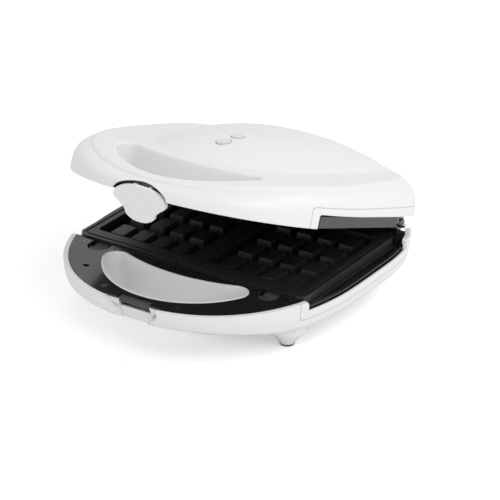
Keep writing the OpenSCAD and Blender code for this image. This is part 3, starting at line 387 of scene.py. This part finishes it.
lidShell = makeLidShell()
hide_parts("lid_shell")
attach(lidShell, "lid")
print("lid shell made")

base = {
    "floor": 11,
    "ledge": 27,  # top of the wall behind the hinge
    "skirtFront": 13.8,  # depth of the skirt below the seam, at the front and at the sides
    "skirtSide": 22.8,
    "skirtBlend": 85,
    "skirtRear": 2,  # what it gains from there to the rear
    "skirtRearFrom": 120,
    "skirtInsets": ((0, 0.5, 0.92), (0, 0.8, 2.9)),  # shares of its depth, and how far it leans in there
    # rows of the skirt's lower edge: inset, share of its depth, and lift
    "fold": ((4.9, 1, -0.85), (4.4, 1, -0.45), (4.05, 1, 0.1), (3.6, 0.97, 0)),
    "depthInset": 3,  # its depth is read on this inset
    "edgeRadius": 0.7,
    "lipInside": 3,  # how far down the inner face of the opening's wall starts
    "lipSide": 0.1,
    "lipRound": 0.4,
    "lipTop": 0.5,
    "lipFlat": 0.6,
    "lipBevel": (0.2, 0.32),
    "rimStep": 1,
    "rimInset": 4.5,  # the underside dips from this inset to the hull's
    "hullInset": 20,
    "hullDrop": 7,
    "floorInset": 50,  # the flat floor starts here at the front and nearer to the edge at the rear
    "floorGain": 27,
    "floorGainFrom": 175,
    "floorGainOver": 30,
    "frontZone": 40,  # what is nearer than this counts as the front
    "columns": 2.2,
    "columnGap": 0.05,  # half of what sets a pair of columns apart at the hinge and the latch
    "hullRows": 30,
    "hullRoom": 1.5,  # at the front, a hull edge that isn't this far behind the hand opening's
    "hullStep": 0.4,  # stands this far in front of it instead
    "rimRowsTo": 5.4,  # inset at which the rows of the rim end
    "skirtRows": 16,
    "ledgeDepth": 4,
    "lowered": 1,  # a top edge further than this under the seam is as thick as the wall
}
baseStepColumns = (1, 0.75, 0.5, 0.3, 0.12, 0.04)


def skirtDepth(y):
    side = (base["skirtSide"] - base["skirtFront"]) * smoothStep(y, 0, base["skirtBlend"])
    rearLength = body["depth"] - base["skirtRearFrom"]
    rear = base["skirtRear"] * np.maximum(0, (y - base["skirtRearFrom"]) / rearLength)
    return base["skirtFront"] + side + rear


def skirtInset(share):
    return np.interp(share, *base["skirtInsets"])


def underside(x, y):
    inset = insetOf(x, y)
    edge = body["seam"] - skirtDepth(y)
    gain = np.clip((y - base["floorGainFrom"]) / base["floorGainOver"], 0, 1)
    floorInset = base["floorInset"] - base["floorGain"] * gain
    dip = np.clip((inset - base["rimInset"]) / (base["hullInset"] - base["rimInset"]), 0, 1)
    first = edge - base["rimStep"] - base["hullDrop"] * dip
    share = np.clip((inset - base["hullInset"]) / np.maximum(1, floorInset - base["hullInset"]), 0, 1)
    return first * (1 - share) + base["floor"] * share


def latchHalfWidths():
    # half width of the latch's space, against the height up its plate
    w, t = latchGap["width"], latchGap["tongue"] / 2
    right = [(0, 5), (w * 0.23, 4), (w * 0.4, 0.9), (w * 0.49, -4), (w * 0.48, -8.4), (t + 5.4, -12.3),
             (t + 1.2, -16.1), (t - 0.8, -20.6), (6.6, -24), (0, -24.8)]
    loop = np.array(right + [(-x, h) for x, h in right[-2:0:-1]])
    a, b, c, d = (np.roll(loop, k, axis=0)[:, None] for k in (1, 0, -1, -2))
    k = np.linspace(0, 1, latchGap["curveSteps"], endpoint=False)[None, :, None]
    square, cube = 2 * a - 5 * b + 4 * c - d, 3 * b - a - 3 * c + d
    curve = 0.5 * (2 * b + (c - a) * k + square * k ** 2 + cube * k ** 3)
    curve = curve.reshape(-1, 2)
    along = np.roll(curve, -1, axis=0) - np.roll(curve, 1, axis=0)
    away = np.column_stack((-along[:, 1], along[:, 0])) / np.hypot(*along.T)[:, None]
    curve = curve + latchGap["play"] * away
    chosen = curve[curve[:, 0] > latchGap["sideFrom"]]
    order = np.argsort(chosen[:, 1])
    return chosen[order, 1], chosen[order, 0]


def makeBaseShell():
    gap = latchGap
    radius = cutout["cornerRadius"]
    steps = [cutout["front"] - radius * k for k in baseStepColumns] + [cutout["front"] + stepEdge]
    steps += [cutout["rear"] + radius * k for k in baseStepColumns] + [cutout["rear"] - stepEdge]
    pair = (-base["columnGap"], base["columnGap"])
    steps += [body["hingeAt"] + d for d in pair]
    sides = [v + d for v in (gap["halfWidth"], gap["tongueHalf"]) for d in pair]
    turns, where = columnsOf(base["columns"], steps, sides)
    edgeX, edgeY = outline(turns, 0)
    top = np.full(len(turns), float(body["seam"]))
    drop = np.where(edgeY < body["widestAt"], edgeY - cutout["front"], cutout["rear"] - edgeY)
    rounded = radius - np.sqrt(np.clip(radius ** 2 - np.clip(drop + radius, 0, radius) ** 2, 0, None))
    top = np.where(drop > 0, body["seam"] - cutout["baseDrop"], top - rounded)
    front, rear = edgeY < base["frontZone"], edgeY > body["hingeAt"]
    top = np.where(rear, base["ledge"], top)
    behind = front & (np.abs(edgeX) < gap["halfWidth"])
    top = np.where(behind, gap["underBezel"], top)
    top = np.where(behind & (np.abs(edgeX) < gap["tongueHalf"]), gap["panelTop"], top)
    near = front & (np.abs(edgeX) < gap["blend"])
    heights, widths = latchHalfWidths()
    c, s = math.cos(lidOpening), math.sin(lidOpening)

    def bent(x, y, z):
        # bends the columns so that they follow the recess's edge, and sets those within it back to
        # its plane
        plane = gap["refAt"] + (gap["refHeight"] - z) * s / c + gap["back"] / c
        h = np.where(behind, (z - gap["refHeight"] - gap["back"] * s) / c,
                     (gap["refAt"] - y) * s + (z - gap["refHeight"]) * c)
        reach = np.maximum(np.interp(h, heights, widths), gap["tongueHalf"])
        ends = np.abs(edgeX)
        inner = np.minimum(gap["tongueHalf"], gap["tongueMost"] * reach)
        besideTongue = (ends - gap["tongueHalf"]) / (gap["halfWidth"] - gap["tongueHalf"])
        outside = (ends - gap["halfWidth"]) / (gap["blend"] - gap["halfWidth"])
        away = reach + outside * (gap["blend"] - reach)
        across = np.where(behind, inner + besideTongue * (reach - inner), away)
        across = np.where(ends < gap["tongueHalf"], ends / gap["tongueHalf"] * inner, across)
        kept = np.clip(outside, 0, 1)
        across = across * (1 - kept * (1 - np.abs(x) / np.maximum(ends, 0.01)))
        newX = np.where(near, np.sign(x) * across, x)
        # stays on the surface while it moves sideways
        slope = np.gradient(y, x, edge_order=1)
        newY = np.where(near, y + (newX - x) * np.where(np.isfinite(slope), slope, 0), y)
        return newX, np.where(behind, np.maximum(newY, plane), newY), z

    sheet = SheetMesh()
    thick, soft, seam = body["wall"], base["edgeRadius"], body["seam"]
    side, tip = base["lipSide"], base["lipTop"]
    profile = ((thick, -base["lipInside"]), (thick, side), (thick - base["lipRound"], tip),
               (base["lipFlat"], tip), base["lipBevel"], (0, -side))
    for grow, z in profile:
        x, y = gripPoint(where, grow)
        sheet.add(x, y, seam + z)
    x, y = gripPoint(where, 0)
    bottom = underside(x, y)
    for share in (0.25, 0.5, 0.75, 0.94):
        sheet.add(x, y, seam - side + (bottom - seam + side) * share)
    innerX, innerY = gripPoint(where, 1)
    sheet.add(innerX, innerY, underside(innerX, innerY))
    outerX, outerY = outline(turns, base["hullInset"])
    blocked = (innerY + base["hullRoom"] > outerY) & front
    outerX = np.where(blocked, innerX, outerX)
    outerY = np.where(blocked, innerY - base["hullStep"], outerY)
    for share in np.linspace(0, 1, base["hullRows"])[1:]:
        x, y = innerX + (outerX - innerX) * share, innerY + (outerY - innerY) * share
        sheet.add(*bent(x, y, underside(x, y)))
    rimX, rimY = outline(turns, base["rimRowsTo"])
    for share in (0.15, 0.3, 0.45, 0.6, 0.75, 0.9, 1):
        x, y = outerX + (rimX - outerX) * share, outerY + (rimY - outerY) * share
        sheet.add(*bent(x, y, underside(x, y)))
    depth = skirtDepth(outline(turns, base["depthInset"])[1])
    foldShare, foldInset = (row[-1] for row in base["skirtInsets"])
    for inset, k, lift in (*base["fold"], (foldInset, foldShare, 0)):
        x, y = outline(turns, inset)
        sheet.add(*bent(x, y, seam - depth * k + lift))
    start = seam - depth * foldShare
    for share in np.linspace(0.06, 1, base["skirtRows"]):
        z = start + (top - soft - start) * share
        x, y = outline(turns, skirtInset((seam - z) / depth))
        sheet.add(*bent(x, y, z))
    topInset = skirtInset((seam - top) / depth)
    for angle in np.radians((30, 60, 90)):
        x, y = outline(turns, topInset + soft * (1 - math.cos(angle)))
        z = top - soft * (1 - math.sin(angle))
        x, y, z = bent(x, y, z)
        sheet.add(x, y + np.where(behind, soft * (1 - math.cos(angle)), 0), z)
    x, y = outline(turns, np.where(top < seam - base["lowered"], thick, body["rim"]))
    bentX, bentY, _ = bent(x, y, top)
    x, y = np.where(behind, bentX, x), np.where(behind, bentY + thick, y)
    y = np.where(rear, np.minimum(y, body["hingeAt"] - thick), y)
    sheet.add(x, y, top)
    sheet.add(x, y, top - base["ledgeDepth"])
    return sheet.build("baseShellMoulding")


foot = {
    "top": 22,  # within the shell
    "tip": 1.5,  # above the table, on the rubber pad
    "span": 180,
    "rowsAt": {"Front": 90, "Rear": 212},
    "radius": 6.2,
    "flare": 19,
    "flarePower": 1.3,
    "widest": 16,
    "sides": 64,
    "rows": 14,
}


def makeFoot(name, x, y):
    # a round post that flares where it joins the shell
    around = np.linspace(0, 2 * math.pi, foot["sides"] + 1)[:-1]
    r, tip = foot["radius"], foot["tip"]
    sheet = SheetMesh()
    profile = [(0.01, tip + 0.02), (r - 0.6, tip + 0.02), (r - 0.1, tip + 0.25)]
    for k in np.linspace(0.04, 1, foot["rows"]):
        flared = r + foot["flare"] * k ** foot["flarePower"]
        profile.append((min(flared, foot["widest"]), tip + (foot["top"] - tip) * k))
    for radius, z in profile:
        sheet.add(x + radius * np.cos(around), y + radius * np.sin(around), z)
    return sheet.build(name)


baseShell = makeBaseShell()
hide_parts("base_shell")
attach(baseShell, "base")
feet = []
for sideName, side in (("Left", -1), ("Right", 1)):
    for end, at in foot["rowsAt"].items():
        post = makeFoot("footPost" + end + sideName, side * foot["span"] / 2, at)
        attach(post, "base")
        feet.append(post)
print("base shell made")


class Wire:
    # a shader socket that can be used in sums
    def __init__(self, finish, socket):
        self.finish, self.socket = finish, socket

    def maths(self, operation, first, second):
        return self.finish.add("ShaderNodeMath", {"operation": operation}, {0: first, 1: second})

    def __add__(self, other):
        return self.maths("ADD", self, other)

    def __radd__(self, other):
        return self.maths("ADD", other, self)

    def __sub__(self, other):
        return self.maths("SUBTRACT", self, other)

    def __rsub__(self, other):
        return self.maths("SUBTRACT", other, self)

    def __mul__(self, other):
        return self.maths("MULTIPLY", self, other)

    def __rmul__(self, other):
        return self.maths("MULTIPLY", other, self)


class Finish:
    # one material, with its Principled shader ready to fill in
    def __init__(self, name, **constants):
        self.material = bpy.data.materials.new(name)
        self.material.use_nodes = True
        self.tree = self.material.node_tree
        self.shader = self.tree.nodes["Principled BSDF"]
        for socket, value in constants.items():
            self.shader.inputs[socket.replace("_", " ")].default_value = value

    def add(self, kind, settings=None, values=None, output=0):
        node = self.tree.nodes.new(kind)
        for key, value in (settings or {}).items():
            if key == "stops":
                ramp = node.color_ramp
                for i, (position, colour) in enumerate(value):
                    stop = ramp.elements[i] if i < 2 else ramp.elements.new(position)
                    stop.position, stop.color = position, colour
            else:
                setattr(node, key, value)
        for key, value in (values or {}).items():
            if isinstance(value, Wire):
                self.tree.links.new(value.socket, node.inputs[key])
            else:
                node.inputs[key].default_value = value
        return Wire(self, node.outputs[output])

    def link(self, socket, wire):
        self.tree.links.new(wire.socket, self.shader.inputs[socket])

    def place(self):
        return self.add("ShaderNodeTexCoord", output=3)

    def noise(self, scale, detail=2, roughness=0.5):
        return self.add("ShaderNodeTexNoise", None,
                        {"Vector": self.place(), "Scale": scale, "Detail": detail, "Roughness": roughness})

    def blendColours(self, share, first, second):
        values = {"Factor": share, 6: first, 7: second}
        return self.add("ShaderNodeMix", {"data_type": "RGBA"}, values, output=2)

    def bump(self, height, strength, distance):
        values = {"Strength": strength, "Distance": distance, "Height": height}
        self.link("Normal", self.add("ShaderNodeBump", None, values))


moulding = {
    "patches": 18,
    "patchDetail": 3,
    "patchBump": 0.4,
    "grainRoughness": 0.6,
    "bumpStrength": 0.25,
    "coatRoughness": 0.08,
}


def mouldedPlastic(name, colour, shade, roughness, spread, grain, depth, coat=0.0, shadedGroove=None):
    # pale variation in the colour, a gloss that changes slowly, and a fine moulded texture
    finish = Finish(name, Coat_Roughness=moulding["coatRoughness"])
    slow = finish.noise(moulding["patches"], moulding["patchDetail"])
    fine = finish.noise(grain, 2, moulding["grainRoughness"])
    tone = finish.blendColours(slow, (*colour, 1), (*[c * shade for c in colour], 1))
    height = fine + moulding["patchBump"] * slow
    # painted shade: a darker colour along the groove and round the lenses, over a real dip in the bump
    if shadedGroove:
        grooveShade = grooveShadeMask(finish, **shadedGroove)
        tone = finish.blendColours(grooveShade, tone, (*shadedGrooves["colour"], 1))
        height = height - grooveShade * shadedGrooves["depth"]
    finish.link("Base Color", tone)
    finish.link("Roughness", roughness + (fine - 0.5) * spread + (slow - 0.5) * spread)
    finish.shader.inputs["Coat Weight"].default_value = coat
    finish.bump(height, moulding["bumpStrength"], depth)
    return finish.material


# fine groove round the side openings, at a distance in front of and beyond the opening's edges; its dip is a bump
# and its dark line is painted shade
shadedGrooves = {
    "front": cutout["front"] - 7.3,
    "rear": cutout["rear"] + 7.3,
    "lidAt": cutout["lidEdge"] + 5.3,
    "lidSlope": 0.02,
    "baseAt": body["seam"] - cutout["baseDrop"] - 6.9,
    "halfWidth": 0.36,
    "corner": 7,
    # darkness and colour of the painted shade in the groove, and the depth of its real bump
    "darkness": 0.5,
    "colour": (0.1, 0.1, 0.105),
    "depth": 4,
    "core": 1.3,  # over 1 keeps the middle of the line at its full darkness
}
# painted shadow of the gap round each lens, drawn as a dark ring on the lid: place along the lid, half width, and
# radius of the two arcs that bound it
lensGapShadows = {"lenses": ((110, 5.4, 8), (130, 5, 7)), "offset": 0.35, "halfWidth": 0.42, "darkness": 0.9}


def lineMask(finish, away, halfWidth):
    # 1 where a distance is about 0, falling to 0 a little beyond the half width
    size = away.maths("ABSOLUTE", away, 0)
    settings = {"operation": "MULTIPLY_ADD", "use_clamp": True}
    return finish.add("ShaderNodeMath", settings, {0: size, 1: -1 / halfWidth, 2: shadedGrooves["core"]})


def grooveShadeMask(finish, opened, edge, side, slope=0, lenses=()):
    # 1 on the painted shade of the groove line and of the lens gaps, and 0 away from it, worked out in the shut
    # lid's or the base's own place
    spot = {"Vector": finish.place()}
    x, y, z = (finish.add("ShaderNodeSeparateXYZ", None, spot, output=k) * (1 / mm) for k in (0, 1, 2))
    y, z = y - (body["hingeAt"] + body["frontEdge"]), z - body["hingeHeight"]
    c, s = math.cos(opened), math.sin(opened)
    along, up = y * c - z * s + body["hingeAt"], y * s + z * c + body["hingeHeight"]
    ahead = along - shadedGrooves["front"]
    within = ahead.maths("MINIMUM", ahead, shadedGrooves["rear"] - along)
    inside = finish.add("ShaderNodeMath", {"operation": "SMOOTH_MIN"},
                        {0: within, 1: (edge + slope * ahead - up) * side, 2: float(shadedGrooves["corner"])})
    mask = lineMask(finish, inside, shadedGrooves["halfWidth"]) * shadedGrooves["darkness"]
    # painted shadow of the gap round each lens, as a dark ring
    for at, halfWidth, radius in lenses:
        across = x.maths("ABSOLUTE", x, 0) + (radius - halfWidth)
        square = across * across + (along - at) * (along - at)
        ring = square.maths("POWER", square, 0.5) - (radius + lensGapShadows["offset"])
        gap = lineMask(finish, ring, lensGapShadows["halfWidth"]) * lensGapShadows["darkness"]
        mask = mask.maths("MAXIMUM", mask, gap)
    return mask


nonStick = {
    "dark": (0.014, 0.014, 0.015, 1),
    "light": (0.05, 0.05, 0.052, 1),
    "roughness": 0.38,
    "grainSpread": 0.25,
    "patchSpread": 0.1,
    "patches": 25,
    "grain": 900,
    "specks": 2600,
    "speckFrom": 0.62,  # how much of the noise counts as a speck
    "speckFull": 0.72,
    "speckShare": 0.5,
    "patchShare": 0.2,
    "patchBump": 0.3,
    "bumpStrength": 0.3,
    "bumpDepth": 0.00008,
}


def nonStickCoating():
    finish = Finish("nonStickCoating", Coat_Roughness=0.3)
    slow, fine = finish.noise(nonStick["patches"], 3), finish.noise(nonStick["grain"], 2, 0.6)
    speck = finish.noise(nonStick["specks"], 1)
    stops = [(nonStick["speckFrom"], (0, 0, 0, 1)), (nonStick["speckFull"], (1, 1, 1, 1))]
    dots = finish.add("ShaderNodeValToRGB", {"stops": stops}, {"Fac": speck})
    worn = dots * nonStick["speckShare"] + slow * nonStick["patchShare"]
    finish.link("Base Color", finish.blendColours(worn, nonStick["dark"], nonStick["light"]))
    spread = (fine - 0.5) * nonStick["grainSpread"]
    finish.link("Roughness", nonStick["roughness"] + spread + (slow - 0.5) * nonStick["patchSpread"])
    height = fine + nonStick["patchBump"] * slow
    finish.bump(height, nonStick["bumpStrength"], nonStick["bumpDepth"])
    return finish.material


drawnMetal = {
    "patches": 30,
    "patchShade": 0.82,
    "lineSpread": 0.2,
    "patchSpread": 0.1,
    "bumpStrength": 0.2,
    "bumpDepth": 0.00004,
}


def metal(name, colour, roughness, grain, stretch):
    # drawn or rolled metal with fine lines along X
    finish = Finish(name, Metallic=1.0)
    across = grain * stretch
    spot = finish.add("ShaderNodeMapping", None, {"Vector": finish.place(), "Scale": (grain, across, across)})
    lines = finish.add("ShaderNodeTexNoise", None, {"Vector": spot, "Scale": 1, "Detail": 3})
    slow = finish.noise(drawnMetal["patches"], 2)
    darker = [c * drawnMetal["patchShade"] for c in colour]
    finish.link("Base Color", finish.blendColours(slow, (*colour, 1), (*darker, 1)))
    spread = (lines - 0.5) * drawnMetal["lineSpread"]
    finish.link("Roughness", roughness + spread + (slow - 0.5) * drawnMetal["patchSpread"])
    finish.bump(lines, drawnMetal["bumpStrength"], drawnMetal["bumpDepth"])
    return finish.material


# plastics by name: colour, factor of its other shade, roughness and its spread, grains per metre, and
# depth of the grain in metres
plastics = {
    "whitePlastic": {"colour": (0.85, 0.85, 0.865), "shade": 0.985, "roughness": 0.3, "spread": 0.06,
                     "grain": 1400, "depth": 0.00003, "coat": 0.15},
    "blackPlastic": {"colour": (0.012, 0.012, 0.013), "shade": 1.5, "roughness": 0.16, "spread": 0.06,
                     "grain": 1500, "depth": 0.00003, "coat": 0.3},
    "darkGreyPlastic": {"colour": (0.045, 0.046, 0.05), "shade": 1.3, "roughness": 0.42, "spread": 0.12,
                        "grain": 1800, "depth": 0.00006},
    "ceramicInsulator": {"colour": (0.72, 0.68, 0.58), "shade": 0.9, "roughness": 0.5, "spread": 0.1,
                         "grain": 700, "depth": 0.00005},
    "wireSleeve": {"colour": (0.42, 0.08, 0.05), "shade": 0.7, "roughness": 0.6, "spread": 0.1,
                   "grain": 2500, "depth": 0.0001},
    "softRubber": {"colour": (0.022, 0.022, 0.022), "shade": 1.4, "roughness": 0.62, "spread": 0.12,
                   "grain": 1600, "depth": 0.00008},
}
# metals by name; stretch is how much finer their lines are across than along
metals = {
    "phosphatedSteel": {"colour": (0.2, 0.2, 0.21), "roughness": 0.36, "grain": 300, "stretch": 12},
    "brightSheet": {"colour": (0.78, 0.78, 0.79), "roughness": 0.22, "grain": 200, "stretch": 20},
    "heaterSheath": {"colour": (0.3, 0.27, 0.25), "roughness": 0.45, "grain": 400, "stretch": 3},
    "blackenedSteel": {"colour": (0.24, 0.24, 0.25), "roughness": 0.3, "grain": 500, "stretch": 3},
}
lidGrooveShades = {
    "opened": lidOpening,
    "edge": shadedGrooves["lidAt"],
    "side": 1,
    "slope": shadedGrooves["lidSlope"],
    "lenses": lensGapShadows["lenses"],
}
baseGrooveShade = {"opened": 0, "edge": shadedGrooves["baseAt"], "side": -1}
lensLook = {
    "pale": (0.86, 0.86, 0.86, 1),
    "grey": (0.78, 0.78, 0.79, 1),
    "patches": 160,
    "roughness": 0.12,
    "spread": 0.08,
    "clear": 0.1,
    "coat": 0.6,
}


def lensFinish():
    finish = Finish("clearLens", IOR=1.49, Coat_Roughness=0.05)
    slow = finish.noise(lensLook["patches"], 2)
    finish.link("Base Color", finish.blendColours(slow, lensLook["pale"], lensLook["grey"]))
    finish.link("Roughness", lensLook["roughness"] + lensLook["spread"] * slow)
    finish.shader.inputs["Transmission Weight"].default_value = lensLook["clear"]
    finish.shader.inputs["Coat Weight"].default_value = lensLook["coat"]
    return finish.material


finishes = {name: mouldedPlastic(name, **values) for name, values in plastics.items()}
finishes.update({name: metal(name, **values) for name, values in metals.items()})
whiteLid = mouldedPlastic("whitePlasticLid", **plastics["whitePlastic"], shadedGroove=lidGrooveShades)
whiteBase = mouldedPlastic("whitePlasticBase", **plastics["whitePlastic"], shadedGroove=baseGrooveShade)
slotFinish = {
    "white_plastic": finishes["whitePlastic"],
    "black_plastic": finishes["blackPlastic"],
    "grey_plastic": finishes["darkGreyPlastic"],
    "nonstick_coating": nonStickCoating(),
    "element_steel": finishes["heaterSheath"],
    "bright_aluminium": finishes["brightSheet"],
    "zinc_steel": finishes["phosphatedSteel"],
    "dark_screws": finishes["blackenedSteel"],
    "ceramic": finishes["ceramicInsulator"],
    "wire_sleeve": finishes["wireSleeve"],
    "rubber": finishes["softRubber"],
    "clear_lens": lensFinish(),
}


def dress(piece, material):
    piece.data.materials.clear()
    piece.data.materials.append(material)


dress(lidShell, whiteLid)
dress(baseShell, whiteBase)
for post in feet:
    dress(post, finishes["whitePlastic"])

# CAD pieces keep their shape; a small bevel gives their edges the radius of a moulding or a casting
edgeRadius = {
    "base_bezel": 0.35,
    "lid_bezel": 0.35,
    "base_plate": 0.7,
    "lid_plate": 0.7,
    "latch": 0.6,
    "latch_catch": 0.3,
    "base_clip_left": 0.35,
    "base_clip_right": 0.35,
    "lid_clip_left": 0.35,
    "lid_clip_right": 0.35,
    "terminal_cover": 0.6,
    "hinge_cover": 0.4,
    "base_reflector": 0.2,
    "lid_reflector": 0.2,
}
bevels = {
    "leastAngle": math.radians(32),  # between faces whose edge is rounded
    "segments": 2,
    "weldWithin": 1e-6,
}
for entry in frame["record"]["subparts"]:
    node = frame["nodes"][entry["node"]]
    dress(node, slotFinish[entry["material_slot"]])
    if entry["node"] in edgeRadius:
        weld = node.modifiers.new("joinedFaces", "WELD")
        weld.merge_threshold = bevels["weldWithin"]
        bevel = node.modifiers.new("edgeRadius", "BEVEL")
        bevel.width = edgeRadius[entry["node"]] * mm
        bevel.segments = bevels["segments"]
        bevel.limit_method = "ANGLE"
        bevel.angle_limit = bevels["leastAngle"]
        bevel.harden_normals = True
        bevel.use_clamp_overlap = True
print("finishes made:", len(bpy.data.materials))

camera = {
    "azimuth": 33.65,
    "elevation": 25.42,
    "lens": 180,
    "sensor": 36,
    "place": (1039.4, -1389.4, 917.3),  # from the middle of the body's front edge, on the table
    "clip": (0.05, 30),  # nearest and farthest that it sees, in metres
}


def makeCamera():
    data = bpy.data.cameras.new("studioCamera")
    data.lens, data.sensor_width = camera["lens"], camera["sensor"]
    data.clip_start, data.clip_end = camera["clip"]
    eye = bpy.data.objects.new("studioCamera", data)
    bpy.context.scene.collection.objects.link(eye)
    a, e = math.radians(camera["azimuth"]), math.radians(camera["elevation"])
    look = Vector((-math.sin(a) * math.cos(e), math.cos(a) * math.cos(e), -math.sin(e)))
    x, y, z = camera["place"]
    eye.location = (x * mm, (y + body["frontEdge"]) * mm, z * mm)
    eye.rotation_euler = look.to_track_quat("-Z", "Y").to_euler()
    bpy.context.scene.camera = eye


studio = {
    "floorSize": 12,  # metres
    "floorColour": 0.9,
    "floorShade": 0.99,
    "floorRoughness": 0.7,
    "floorPatches": 6,
    "floorGlow": 0.35,
    "skyLevel": 0.77,
}


def makeFloor():
    half = studio["floorSize"] / 2
    corners = [(-half, -half, 0), (half, -half, 0), (half, half, 0), (-half, half, 0)]
    mesh = bpy.data.meshes.new("studioFloor")
    mesh.from_pydata(corners, [], [(0, 1, 2, 3)])
    floor = bpy.data.objects.new("studioFloor", mesh)
    bpy.context.scene.collection.objects.link(floor)
    finish = Finish("paleFloor", Roughness=studio["floorRoughness"])
    grain = finish.noise(studio["floorPatches"], 2)
    tone = studio["floorColour"]
    shade = tone * studio["floorShade"]
    finish.link("Base Color", finish.blendColours(grain, (tone, tone, tone, 1), (shade, shade, shade, 1)))
    finish.shader.inputs["Emission Color"].default_value = (1, 1, 1, 1)
    # glows only where the camera sees it, so it puts no extra light on the object
    seen = finish.add("ShaderNodeLightPath", output="Is Camera Ray")
    finish.link("Emission Strength", seen * studio["floorGlow"])
    dress(floor, finish.material)


def makeSky():
    world = bpy.data.worlds.new("studioSky")
    bpy.context.scene.world = world
    world.use_nodes = True
    nodes, links = world.node_tree.nodes, world.node_tree.links
    path, level, seen = (nodes.new("ShaderNode" + kind) for kind in ("LightPath", "Math", "Math"))
    level.operation, seen.operation = "MULTIPLY_ADD", "ADD"
    seen.use_clamp = True
    links.new(path.outputs["Is Camera Ray"], seen.inputs[0])
    links.new(path.outputs["Is Transmission Ray"], seen.inputs[1])
    links.new(seen.outputs[0], level.inputs[0])
    # white where it is seen, and the sky's level where it lights the object
    level.inputs[1].default_value = 1 - studio["skyLevel"]
    level.inputs[2].default_value = studio["skyLevel"]
    links.new(level.outputs[0], nodes["Background"].inputs["Strength"])
    nodes["Background"].inputs["Color"].default_value = (1, 1, 1, 1)


# name, place in metres and power in watts of each lamp; all point at the middle of the body
lamps = [("keySoftbox", (1.1, -0.35, 1.15), 5.5), ("rearSoftbox", (0.9, 0.7, 1.1), 3)]
lampSize, lampTarget = 1, (0, 0, 0.05)


def makeLamp(name, place, power):
    data = bpy.data.lights.new(name, "AREA")
    data.shape, data.size, data.size_y, data.energy = "RECTANGLE", lampSize, lampSize, power
    lamp = bpy.data.objects.new(name, data)
    lamp.location = place
    lamp.rotation_euler = (Vector(lampTarget) - Vector(place)).to_track_quat("-Z", "Y").to_euler()
    bpy.context.scene.collection.objects.link(lamp)


makeCamera()
makeFloor()
makeSky()
for name, place, power in lamps:
    makeLamp(name, place, power)
bpy.context.scene.view_settings.view_transform = "Standard"

print("scene ready")
